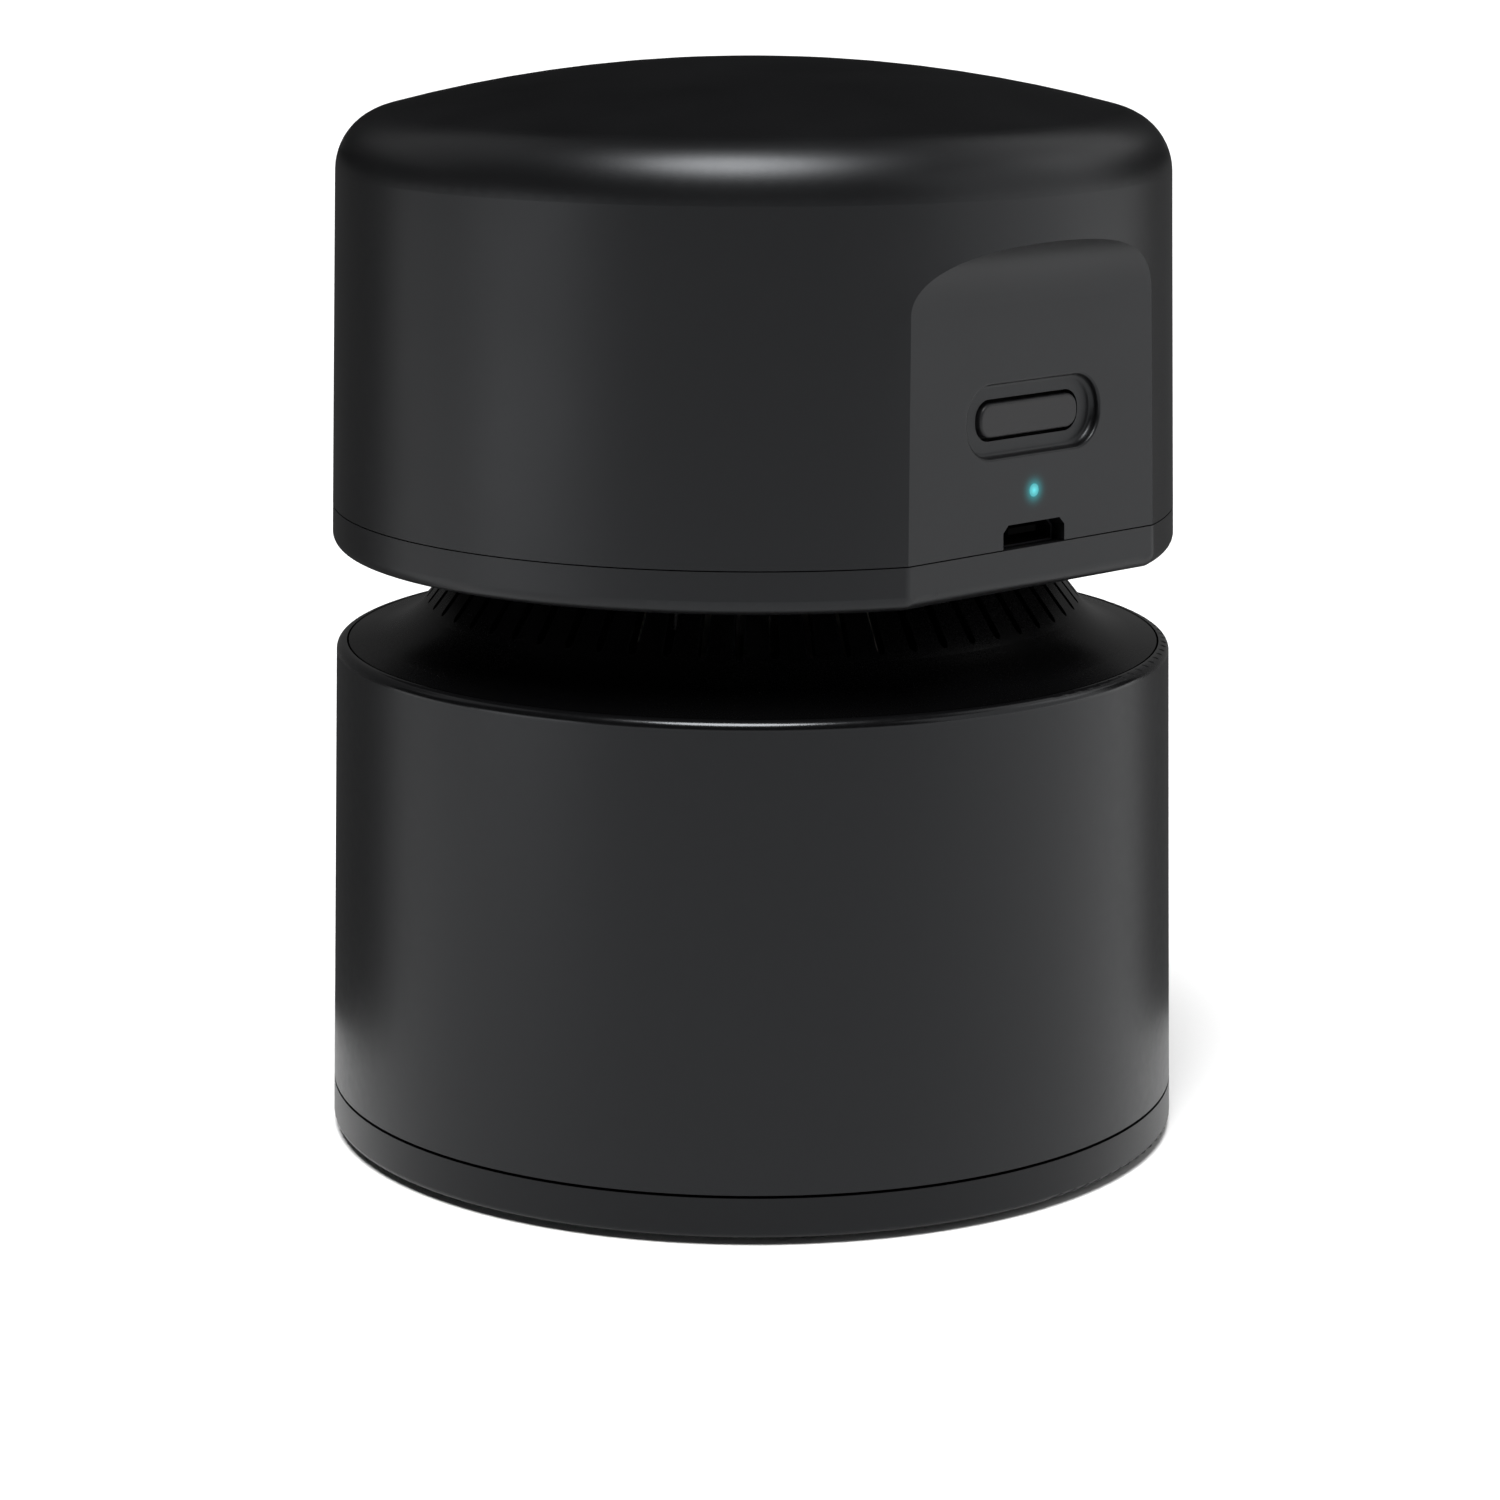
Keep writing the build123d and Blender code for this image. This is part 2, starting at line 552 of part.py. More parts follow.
BLADE_LOW_R = 9.6
BLADE_MID = (15.4, 2.2)
BLADE_SWEEP = 22            # degrees a blade sweeps back at its tip
BLADE_THICKNESS = 0.9
BACK_PLATE = 1.1
HUB_R = 3.6
back_plate_z = IMPELLER_TOP_Z - BACK_PLATE

with BuildLine(mode=Mode.PRIVATE) as blade_line:
    ThreePointArc((BLADE_LOW_R, 0), BLADE_MID, polar(IMPELLER_R - BLADE_THICKNESS, BLADE_SWEEP))

with BuildPart() as impeller:
    with BuildSketch(Plane.XZ):
        section(SHAFT_R, IMPELLER_R, back_plate_z, IMPELLER_TOP_Z)
        section(SHAFT_R, HUB_R, IMPELLER_LOW_Z, back_plate_z)
    revolve(axis=Axis.Z)
    with BuildSketch(Plane.XY.offset(IMPELLER_LOW_Z)):
        with PolarLocations(0, BLADE_COUNT):
            SlotArc(blade_line.edges()[0], BLADE_THICKNESS)
    extrude(amount=back_plate_z - IMPELLER_LOW_Z + 0.2)
finish(impeller, "impeller")

# ---- battery: cradle, cell, end tabs and foam ----
CRADLE_PLATE_Z = CELL_Z - CELL_R - 1.3
CRADLE_PLATE = 1.0
CRADLE_STOP_X = CELL_LENGTH / 2 + 1.0
CRADLE_STOP = 1.2
CRADLE_LENGTH = 2 * CRADLE_STOP_X + 2.6
CRADLE_WIDTH = 19.0
CRADLE_SADDLE_AT = 20.0
CRADLE_SADDLE = 2.4
CRADLE_BORE = 8.0
CELL_EDGE_R = 0.8
CELL_CAP = 0.8              # height of the positive cap
CELL_CAP_R = 3.6
TAB = 0.3
TAB_WIDTH = 5.0
TAB_TOP = CELL_Z + 2.5
TAB_LOW = CELL_Z - 6.0
FOAM_LOW = CELL_Z + 6.5
FOAM_TOP = 106.0
positive_x = CELL_LENGTH / 2
negative_x = CELL_CAP - CELL_LENGTH / 2

with BuildPart() as battery_cradle:
    with BuildSketch(Plane.XY.offset(CRADLE_PLATE_Z)):
        RectangleRounded(CRADLE_LENGTH, CRADLE_WIDTH, 3)
        with Locations(*terminals):
            Rectangle(6, 5, mode=Mode.SUBTRACT)
    extrude(amount=CRADLE_PLATE)
    with BuildSketch(Plane.XY.offset(FLOOR_TOP_Z)):
        with PolarLocations(CRADLE_LEG_AT, 2):
            RectangleRounded(4.4, 10, 1)
    extrude(amount=CRADLE_PLATE_Z - FLOOR_TOP_Z)
    with BuildSketch(Plane.XY.offset(CRADLE_PLATE_Z + CRADLE_PLATE)):
        with PolarLocations(CRADLE_SADDLE_AT, 2):
            Rectangle(CRADLE_SADDLE, CRADLE_WIDTH)
    extrude(amount=6.5)
    with BuildSketch(Plane.XY.offset(CRADLE_PLATE_Z + CRADLE_PLATE)):
        with PolarLocations(CRADLE_STOP_X + 0.7, 2):
            Rectangle(CRADLE_STOP, 9)
    extrude(amount=6)
    with BuildSketch(Plane.YZ):
        with Locations((0, CELL_Z)):
            Circle(CELL_R + 0.15)
    extrude(amount=CRADLE_STOP_X, both=True, mode=Mode.SUBTRACT)
    with BuildSketch(Plane.XY.offset(FLOOR_TOP_Z)):
        with PolarLocations(CRADLE_LEG_AT, 2):
            Circle(SCREW_R)
    extrude(amount=CRADLE_BORE, mode=Mode.SUBTRACT)
finish(battery_cradle, "battery_cradle")

with BuildPart() as battery_cell:
    with BuildSketch(Plane.YZ):
        with Locations((0, CELL_Z)):
            Circle(CELL_R)
    extrude(amount=-negative_x, both=True)
    fillet(battery_cell.edges().filter_by(GeomType.CIRCLE), CELL_EDGE_R)
    with BuildSketch(Plane.YZ.offset(-negative_x)):
        with Locations((0, CELL_Z)):
            Circle(CELL_CAP_R)
    extrude(amount=CELL_CAP)
finish(battery_cell, "battery_cell")

with BuildPart() as battery_tabs:
    with BuildSketch(Plane.YZ.offset(positive_x)):
        with Locations((0, (TAB_TOP + TAB_LOW) / 2)):
            Rectangle(TAB_WIDTH, TAB_TOP - TAB_LOW)
    extrude(amount=TAB)
    with BuildSketch(Plane.YZ.offset(negative_x)):
        with Locations((0, (TAB_TOP + TAB_LOW) / 2)):
            Rectangle(TAB_WIDTH, TAB_TOP - TAB_LOW)
    extrude(amount=-TAB)
finish(battery_tabs, "battery_tabs")

with BuildPart() as battery_foam:
    with BuildSketch(Plane.XY.offset(FOAM_LOW)):
        Rectangle(22, 12)
    extrude(amount=FOAM_TOP - FOAM_LOW)
    with BuildSketch(Plane.YZ):
        with Locations((0, CELL_Z)):
            Circle(CELL_R)
    extrude(amount=12, both=True, mode=Mode.SUBTRACT)
finish(battery_foam, "battery_foam")

# ---- control board and what is on it ----
BOARD_WIDTH = 30.0
BOARD_LOW_Z = 63.3
BOARD_TOP_Z = 83.3
BOARD_HOLE_R = 0.85
CHIP_AT = (-10.5, 71.2)
CHIP_HEIGHT = 1.5
SWITCH_SIZE = 7.0
SWITCH_HEIGHT = 3.0
SWITCH_POCKET = 2.2
PLUNGER = 2.8
PLUNGER_LENGTH = 2.6
PLUNGER_PLAY = 0.2
BUTTON_FLANGE = 0.8
BUTTON_STEM_R = 1.6
USB_Z = HEAD_SEAM_Z + USB_NOTCH_HEIGHT / 2
USB_SHELL_WIDTH = 7.5
USB_SHELL_HEIGHT = 2.3
USB_SHELL_CORNER = 0.8
USB_WALL = 0.2              # leaves an opening of 7.1 by 1.9 mm for the plug
USB_BACK = 0.4
USB_BLOCK = 2.2
USB_TONGUE = 4.4
usb_mouth = PANEL_Y - USB_MOUTH_DEPTH
button_face = recess_floor + BUTTON_PROUD
button_back = -panel_y(BUTTON_Z) - PANEL_WALL - 0.25
plunger_back = SWITCH_POCKET - board_front
plunger_top = plunger_back + PLUNGER_LENGTH

with BuildPart() as control_board:
    with BuildSketch(Plane.XZ.offset(-BOARD_Y)):
        with Locations((0, (BOARD_LOW_Z + BOARD_TOP_Z) / 2)):
            RectangleRounded(BOARD_WIDTH, BOARD_TOP_Z - BOARD_LOW_Z, 1)
        with Locations(*board_posts):
            Circle(BOARD_HOLE_R, mode=Mode.SUBTRACT)
    extrude(amount=BOARD_THICKNESS)
finish(control_board, "control_board")

with BuildPart() as charge_chip:
    with BuildSketch(Plane.XZ.offset(-board_front)):
        with Locations(CHIP_AT):
            Rectangle(4, 5)
    extrude(amount=CHIP_HEIGHT)
finish(charge_chip, "charge_chip")

with BuildPart() as push_switch:
    with BuildSketch(Plane.XZ.offset(-board_front)):
        with Locations((0, BUTTON_Z)):
            RectangleRounded(SWITCH_SIZE, SWITCH_SIZE, 0.6)
    extrude(amount=SWITCH_HEIGHT)
    with BuildSketch(Plane.XZ.offset(SWITCH_HEIGHT - board_front)):
        with Locations((0, BUTTON_Z)):
            Rectangle(PLUNGER + 2 * PLUNGER_PLAY, PLUNGER + 2 * PLUNGER_PLAY)
    extrude(amount=-SWITCH_POCKET, mode=Mode.SUBTRACT)
finish(push_switch, "push_switch")

with BuildPart() as switch_plunger:
    with BuildSketch(Plane.XZ.offset(plunger_back)):
        with Locations((0, BUTTON_Z)):
            Rectangle(PLUNGER, PLUNGER)
    extrude(amount=PLUNGER_LENGTH)
finish(switch_plunger, "switch_plunger")

with BuildPart() as power_button:
    # cap through the wall, flange behind it, and the stem that rests on the switch plunger
    with BuildSketch(Plane.XZ.offset(button_back)):
        with Locations((0, BUTTON_Z)):
            RectangleRounded(
                BUTTON_HOLE_LENGTH - 2 * BUTTON_GAP,
                BUTTON_HOLE_HEIGHT - 2 * BUTTON_GAP,
                BUTTON_HOLE_CORNER_R - BUTTON_GAP,
            )
    extrude(amount=button_face - button_back)
    fillet(power_button.faces().sort_by(Axis.Y)[0].edges(), BUTTON_EDGE_R)
    with BuildSketch(Plane.XZ.offset(button_back)):
        with Locations((0, BUTTON_Z)):
            RectangleRounded(BUTTON_HOLE_LENGTH + 2, BUTTON_HOLE_HEIGHT + 1.6, BUTTON_HOLE_CORNER_R)
    extrude(amount=-BUTTON_FLANGE)
    with BuildSketch(Plane.XZ.offset(plunger_top)):
        with Locations((0, BUTTON_Z)):
            Circle(BUTTON_STEM_R)
    extrude(amount=button_back - plunger_top)
finish(power_button, "power_button")

with BuildPart() as status_led:
    with BuildSketch(Plane.XZ.offset(-board_front)):
        with Locations((0, LAMP_Z)):
            Rectangle(1.6, 0.9)
    extrude(amount=0.8)
finish(status_led, "status_led")

with BuildPart() as led_light_pipe:
    pipe_back = 0.9 - board_front
    with BuildSketch(Plane.XZ.offset(pipe_back)):
        with Locations((0, LAMP_Z)):
            Circle(LAMP_R)
    extrude(amount=-panel_y(LAMP_Z) - pipe_back)
    with BuildSketch(Plane.XZ.offset(-panel_y(LAMP_Z) - PANEL_WALL - 1.2)):
        with Locations((0, LAMP_Z)):
            Circle(1.3)
    extrude(amount=1.0)
finish(led_light_pipe, "led_light_pipe")


def usb_outline(width, height, corner):
    """Flat D-like micro-USB outline: the two upper corners are cut off."""
    low, high = USB_Z - height / 2, USB_Z + height / 2
    return Polygon(
        (-width / 2, low),
        (width / 2, low),
        (width / 2, high - corner),
        (width / 2 - corner, high),
        (corner - width / 2, high),
        (-width / 2, high - corner),
    )


usb_inside = (USB_SHELL_WIDTH - 2 * USB_WALL, USB_SHELL_HEIGHT - 2 * USB_WALL, USB_SHELL_CORNER - 0.1)

with BuildPart() as usb_shell:
    with BuildSketch(Plane.XZ.offset(-board_front)):
        usb_outline(USB_SHELL_WIDTH, USB_SHELL_HEIGHT, USB_SHELL_CORNER)
    extrude(amount=usb_mouth + board_front)
    with BuildSketch(Plane.XZ.offset(USB_BACK - board_front)):
        usb_outline(*usb_inside)
    extrude(amount=usb_mouth, mode=Mode.SUBTRACT)
finish(usb_shell, "usb_shell")

with BuildPart() as usb_insulator:
    with BuildSketch(Plane.XZ.offset(USB_BACK - board_front)):
        usb_outline(*usb_inside)
    extrude(amount=USB_BLOCK)
    with BuildSketch(Plane.XZ.offset(USB_BACK + USB_BLOCK - board_front)):
        with Locations((0, USB_Z + 0.2)):
            Rectangle(3.8, 0.6)
    extrude(amount=USB_TONGUE)
finish(usb_insulator, "usb_insulator")


# ---- wires, each led from one solder joint to the other ----
def route_radii(points):
    """Bend radius at each inner point: as large as its two runs allow."""
    radii = []
    for before, here, after in zip(points, points[1:], points[2:]):
        run_in = Vector(*here) - Vector(*before)
        run_out = Vector(*after) - Vector(*here)
        turn = radians(run_in.get_angle(run_out))
        radii.append(0.45 * min(run_in.length, run_out.length) / tan(turn / 2))
    return radii


def lead(label, points):
    """Insulated wire along straight runs joined by tangent arcs."""
    with BuildPart() as wire:
        with BuildLine() as route:
            FilletPolyline(*points, radius=route_radii(points))
        with BuildSketch(Plane(origin=route.line @ 0, z_dir=route.line % 0)):
            Circle(WIRE_R)
        sweep()
    finish(wire, label)


lead(
    "battery_lead_positive",
    (
        (positive_x + TAB + WIRE_R, 0.0, 92.2),
        (positive_x + TAB + WIRE_R, -6.0, 91.2),
        (32.4, -12.5, 86.2),
        (28.0, -17.5, 79.7),
        (20.0, -21.0, 75.7),
        (13.0, -24.0, 73.7),
        (11.0, BOARD_Y, 73.7),
    ),
)
lead(
    "battery_lead_negative",
    (
        (negative_x - TAB - WIRE_R, 0.0, 91.7),
        (negative_x - TAB - WIRE_R, -6.0, 90.2),
        (-32.2, -12.5, 85.2),
        (-28.0, -17.5, 78.2),
        (-20.0, -21.0, 73.7),
        (-13.0, -24.5, 71.7),
        (-11.0, BOARD_Y, 71.7),
    ),
)
lead(
    "motor_lead_positive",
    (
        (TERMINAL_WIDTH / 2 + WIRE_R, -TERMINAL_Y, 84.9),
        (4.6, -12.5, 83.9),
        (6.0, -18.0, 80.2),
        (6.5, -23.5, 79.2),
        (6.5, BOARD_Y, 79.2),
    ),
)
lead(
    "motor_lead_negative",
    (
        (-TERMINAL_WIDTH / 2 - WIRE_R, TERMINAL_Y, 84.9),
        (-5.5, 13.0, 83.2),
        (-14.0, 13.5, 77.7),
        (-17.5, 4.0, 74.2),
        (-16.5, -7.0, 73.7),
        (-12.0, -16.5, 75.7),
        (-7.5, -23.5, 78.2),
        (-6.5, BOARD_Y, 79.2),
    ),
)

# ---- screws: a cylinder head with a cross recess, and a plain shank ----
CROSS_LENGTH = 1.2          # of the cross recess, in head radii
CROSS_WIDTH = 0.28


def screws(label, plane, places, head_r, head_height, shank_r, shank):
    """Screws at places on a plane: the heads stand on it, the shanks go in below it."""
    with BuildPart() as group:
        with BuildSketch(plane):
            with Locations(*places):
                Circle(head_r)
        extrude(amount=head_height)
        with BuildSketch(plane):
            with Locations(*places):
                Circle(shank_r)
        extrude(amount=-shank)
        with BuildSketch(plane.offset(head_height)):
            with Locations(*places):
                Rectangle(CROSS_LENGTH * head_r, CROSS_WIDTH * head_r)
                Rectangle(CROSS_WIDTH * head_r, CROSS_LENGTH * head_r)
        extrude(amount=-head_height / 2, mode=Mode.SUBTRACT)
    finish(group, label)


def facing_down(z):
    """Plane at height z that looks down; its X is the world's X and its Y is turned over."""
    return Plane(origin=(0, 0, z), x_dir=(1, 0, 0), z_dir=(0, 0, -1))


def ring(radius, count, start):
    """Places on a circle for a plane that looks down."""
    return [polar(radius, -start - 360 * step / count) for step in range(count)]


shank_r = SCREW_R - SHANK_PLAY
under_head = facing_down(HEAD_UNDER_Z + COUNTERBORE)
screws("head_screws", under_head, ring(HEAD_BOSS_AT, 4, HEAD_BOSS_START), 2.1, 1.0, shank_r, 10.0)
screws("motor_screws", under_head, ring(MOTOR_SCREW_AT, 2, 0), 1.8, 0.9, shank_r, 3.0)
screws("cradle_screws", under_head, ring(CRADLE_LEG_AT, 2, 0), 1.8, 0.9, shank_r, 8.0)
screws(
    "fan_plate_screws", facing_down(FAN_PLATE_Z),
    ring(FAN_PLATE_BOSS_AT, 3, FAN_PLATE_SCREW_START), 2.0, 1.2, shank_r, 3.6,
)
screws(
    "collar_screws", Plane.XY.offset(FLOOR_TOP_Z),
    [polar(COLLAR_SCREW_AT, COLLAR_SCREW_START + 120 * step) for step in range(3)],
    2.0, 1.2, shank_r, 5.4,
)
screws(
    "board_screws", Plane(origin=(0, BOARD_Y, 0), x_dir=(-1, 0, 0), z_dir=(0, 1, 0)),
    board_posts, 1.5, 1.0, BOARD_SCREW_R - SHANK_PLAY, 5.0,
)

# ---- filter: frame, pleats, mesh sleeve and gasket ----
FILTER_LOW_Z = 27.3
FILTER_FLOOR = 1.4
FLANGE_LOW_Z = 45.6
FLANGE_TOP_Z = 47.0
CAGE_R = 26.4
CAGE_INNER_R = 25.2
CAGE_RIM_R = 25.0
CAGE_RIM = 1.2
CAGE_RIB = 2.2
CAGE_RIB_COUNT = 8
PLEAT_COUNT = 36
PLEAT_OUTSIDE = (24.8, 20.6)    # radii of the outer and inner folds
PLEAT_INSIDE = (23.6, 19.4)
PULL_TAB_Z = 24.5
PULL_TAB = (16.0, 2.2)
NET_GAP = 0.06
NET = 0.3

with BuildPart() as filter_frame:
    with BuildSketch(Plane.XZ):
        section(CAGE_RIM_R, FILTER_SOCKET_R - 0.3, FLANGE_LOW_Z, FLANGE_TOP_Z)
        section(CAGE_RIM_R, CAGE_R, FLANGE_LOW_Z - CAGE_RIM, FLANGE_LOW_Z)
        section(0, CAGE_R, FILTER_LOW_Z, FILTER_LOW_Z + FILTER_FLOOR)
    revolve(axis=Axis.Z)
    with BuildSketch(Plane.XY.offset(FILTER_LOW_Z)):
        with PolarLocations((CAGE_INNER_R + CAGE_R) / 2, CAGE_RIB_COUNT):
            Rectangle(CAGE_R - CAGE_INNER_R, CAGE_RIB)
    extrude(amount=FLANGE_LOW_Z - FILTER_LOW_Z)
    with BuildSketch(Plane.XY.offset(PULL_TAB_Z)):
        RectangleRounded(*PULL_TAB, 1)
    extrude(amount=FILTER_LOW_Z - PULL_TAB_Z)
finish(filter_frame, "filter_frame")


def pleat_star(r_out, r_in):
    """Zigzag star: alternating outer and inner folds."""
    half = 180 / PLEAT_COUNT
    folds = []
    for pleat in range(PLEAT_COUNT):
        folds.append(polar(r_out, 2 * pleat * half))
        folds.append(polar(r_in, (2 * pleat + 1) * half))
    return folds


with BuildPart() as filter_pleats:
    with BuildSketch(Plane.XY.offset(FILTER_LOW_Z + FILTER_FLOOR + 0.1)):
        Polygon(*pleat_star(*PLEAT_OUTSIDE))
        Polygon(*pleat_star(*PLEAT_INSIDE), mode=Mode.SUBTRACT)
    extrude(amount=FLANGE_LOW_Z - FILTER_LOW_Z - FILTER_FLOOR - 0.2)
finish(filter_pleats, "filter_pleats")

with BuildPart() as filter_mesh:
    with BuildSketch(Plane.XZ):
        section(CAGE_R + NET_GAP, CAGE_R + NET_GAP + NET, FILTER_LOW_Z + 0.2, FLANGE_LOW_Z - 0.1)
    revolve(axis=Axis.Z)
finish(filter_mesh, "filter_mesh")

with BuildPart() as filter_gasket:
    with BuildSketch(Plane.XZ):
        section(26.0, FILTER_SOCKET_R - 0.4, FLANGE_TOP_Z, FAN_PLATE_Z - 0.1)
    revolve(axis=Axis.Z)
finish(filter_gasket, "filter_gasket")

# ---- dust cup ----
CUP_GASKET_Z = 44.5
LEDGE_R = 38.2
LEDGE = 1.5
LEDGE_SLOPE = 3.0           # height of the sloped underside of the ledge
LUG_ROOT = 1.0              # a lug's root ends this far inside the outer skin
cup_low = BASE_SEAM_Z + BASE_SEAM_GAP / 2
lip_r = SHOULDER_R + SHOULDER_GAP
lip_low = REBATE_Z - 0.15
ledge_low = CUP_GASKET_Z - LEDGE
slope_low = ledge_low - LEDGE_SLOPE

with BuildPart() as cup_shell:
    with BuildSketch(Plane.XZ):
        Polygon(
            (cup_radius(cup_low), cup_low),
            (CUP_RIM_R, CUP_RIM_Z),
            (lip_r, CUP_RIM_Z),
            (lip_r, lip_low),
            (cup_radius(REBATE_Z) - CUP_WALL, lip_low),
            (cup_radius(CUP_GASKET_Z) - CUP_WALL, CUP_GASKET_Z),
            (LEDGE_R, CUP_GASKET_Z),
            (LEDGE_R, ledge_low),
            (cup_radius(slope_low) - CUP_WALL, slope_low),
            (cup_radius(cup_low) - CUP_WALL, cup_low),
        )
        fillet(vertices().sort_by_distance((CUP_RIM_R, CUP_RIM_Z))[0], CUP_EDGE_R)
    revolve(axis=Axis.Z)
    # lugs of the twist lock
    with BuildSketch(Plane.XY.offset(LUG_LOW_Z)):
        lug_length = CUP_RIM_R - LUG_ROOT - LUG_INNER_R
        with PolarLocations(LUG_INNER_R + lug_length / 2, 3, start_angle=LUG_START):
            Rectangle(lug_length, LUG_WIDTH)
    extrude(amount=LUG_HEIGHT)
finish(cup_shell, "cup_shell")

with BuildPart() as cup_gasket:
    with BuildSketch(Plane.XZ):
        section(LEDGE_R + 0.3, SKIRT_OUTER_R, CUP_GASKET_Z + 0.05, SKIRT_LOW_Z - 0.1)
    revolve(axis=Axis.Z)
finish(cup_gasket, "cup_gasket")

# ---- base: plate with the suction plenum, duct and bristles ----
PLENUM_TOP_Z = 2.5
PLENUM_R = 33.4
BASE_FLOOR_TOP_Z = 4.2
INLET_R = 9.6
BASE_LIP_R = 41.15
BASE_LIP_TOP_Z = BASE_SEAM_Z + 2.0
GROOVE_IN_R = 34.6
GROOVE_OUT_R = 36.8
GROOVE_TOP_Z = 3.1
GROOVE_CUT = 4.0
BRISTLE_GAP = 5.0           # between two strips
BRISTLE_PLAY = 0.05
base_top = BASE_SEAM_Z - BASE_SEAM_GAP / 2
groove_mid_r = (GROOVE_IN_R + GROOVE_OUT_R) / 2

with BuildPart() as base_plate:
    with BuildSketch(Plane.XZ):
        Polygon(
            (cup_radius(base_top), base_top),
            (cup_radius(BASE_UNDER_Z), BASE_UNDER_Z),
            (PLENUM_R, BASE_UNDER_Z),
            (PLENUM_R, PLENUM_TOP_Z),
            (INLET_R, PLENUM_TOP_Z),
            (INLET_R, BASE_FLOOR_TOP_Z),
            (BASE_LIP_R - LIP, BASE_FLOOR_TOP_Z),
            (BASE_LIP_R - LIP, BASE_LIP_TOP_Z),
            (BASE_LIP_R, BASE_LIP_TOP_Z),
            (BASE_LIP_R, base_top),
        )
        fillet(vertices().sort_by_distance((cup_radius(BASE_UNDER_Z), BASE_UNDER_Z))[0], BASE_EDGE_R)
    revolve(axis=Axis.Z)
    with BuildSketch(Plane.XY.offset(BASE_UNDER_Z)):
        Circle(GROOVE_OUT_R)
        Circle(GROOVE_IN_R, mode=Mode.SUBTRACT)
        with PolarLocations(groove_mid_r, 4, start_angle=45):
            Rectangle(GROOVE_CUT, BRISTLE_GAP, mode=Mode.SUBTRACT)
    extrude(amount=GROOVE_TOP_Z - BASE_UNDER_Z, mode=Mode.SUBTRACT)
finish(base_plate, "base_plate")

with BuildPart() as bristle_strips:
    with BuildSketch():
        Circle(GROOVE_OUT_R - BRISTLE_PLAY)
        Circle(GROOVE_IN_R + BRISTLE_PLAY, mode=Mode.SUBTRACT)
        with PolarLocations(groove_mid_r, 4, start_angle=45):
            Rectangle(GROOVE_CUT, BRISTLE_GAP + 4 * BRISTLE_PLAY, mode=Mode.SUBTRACT)
    extrude(amount=GROOVE_TOP_Z)
finish(bristle_strips, "bristle_strips")

DUCT_R = 8.0
DUCT_WALL = 1.4
DUCT_TOP_Z = 14.2
DUCT_FLANGE_R = 12.5
DUCT_FLANGE = 1.2
DEFLECTOR_Z = 16.7
DEFLECTOR_R = 11.5
DEFLECTOR_EDGE = 0.8
DEFLECTOR_RISE = 2.6
DUCT_PILLAR = 2.2

with BuildPart() as inlet_duct:
    with BuildSketch(Plane.XZ):
        section(DUCT_R, DUCT_R + DUCT_WALL, PLENUM_TOP_Z, DUCT_TOP_Z)
        section(DUCT_R + DUCT_WALL, DUCT_FLANGE_R, BASE_FLOOR_TOP_Z, BASE_FLOOR_TOP_Z + DUCT_FLANGE)
        Polygon(
            (0, DEFLECTOR_Z),
            (DEFLECTOR_R, DEFLECTOR_Z),
            (DEFLECTOR_R, DEFLECTOR_Z + DEFLECTOR_EDGE),
            (0, DEFLECTOR_Z + DEFLECTOR_RISE),
        )
    revolve(axis=Axis.Z)
    with BuildSketch(Plane.XY.offset(DUCT_TOP_Z)):
        with PolarLocations(DUCT_R + DUCT_WALL / 2, 3, start_angle=30):
            Rectangle(DUCT_WALL, DUCT_PILLAR)
    extrude(amount=DEFLECTOR_Z - DUCT_TOP_Z)
finish(inlet_duct, "inlet_duct")
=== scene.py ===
import math

import bpy
from mathutils import Euler, Matrix, Vector


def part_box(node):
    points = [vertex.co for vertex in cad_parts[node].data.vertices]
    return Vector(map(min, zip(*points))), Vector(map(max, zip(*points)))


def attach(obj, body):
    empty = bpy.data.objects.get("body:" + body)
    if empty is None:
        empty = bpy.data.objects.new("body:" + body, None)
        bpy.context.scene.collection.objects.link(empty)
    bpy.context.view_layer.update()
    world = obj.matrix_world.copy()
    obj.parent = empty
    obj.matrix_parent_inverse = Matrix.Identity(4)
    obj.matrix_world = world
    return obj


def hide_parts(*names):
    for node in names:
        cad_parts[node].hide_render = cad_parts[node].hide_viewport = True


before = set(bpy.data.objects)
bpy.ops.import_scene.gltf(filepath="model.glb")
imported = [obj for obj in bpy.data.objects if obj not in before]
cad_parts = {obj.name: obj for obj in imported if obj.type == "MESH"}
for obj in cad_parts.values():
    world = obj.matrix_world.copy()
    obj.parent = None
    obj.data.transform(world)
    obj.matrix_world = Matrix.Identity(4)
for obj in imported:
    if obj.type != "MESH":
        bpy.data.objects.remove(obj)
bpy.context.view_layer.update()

# Desktop mini vacuum cleaner: finishes, bristles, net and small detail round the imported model.
# Metres, +Z up, the control panel faces -Y.

MM = 0.001


def reach(node):
    """A node's lowest and highest corners at rest, in millimetres."""
    return [[value / MM for value in corner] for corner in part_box(node)]


def middle(node, axis):
    """Middle of a node's box along an axis (0, 1 or 2), in millimetres."""
    low, high = reach(node)
    return (low[axis] + high[axis]) / 2


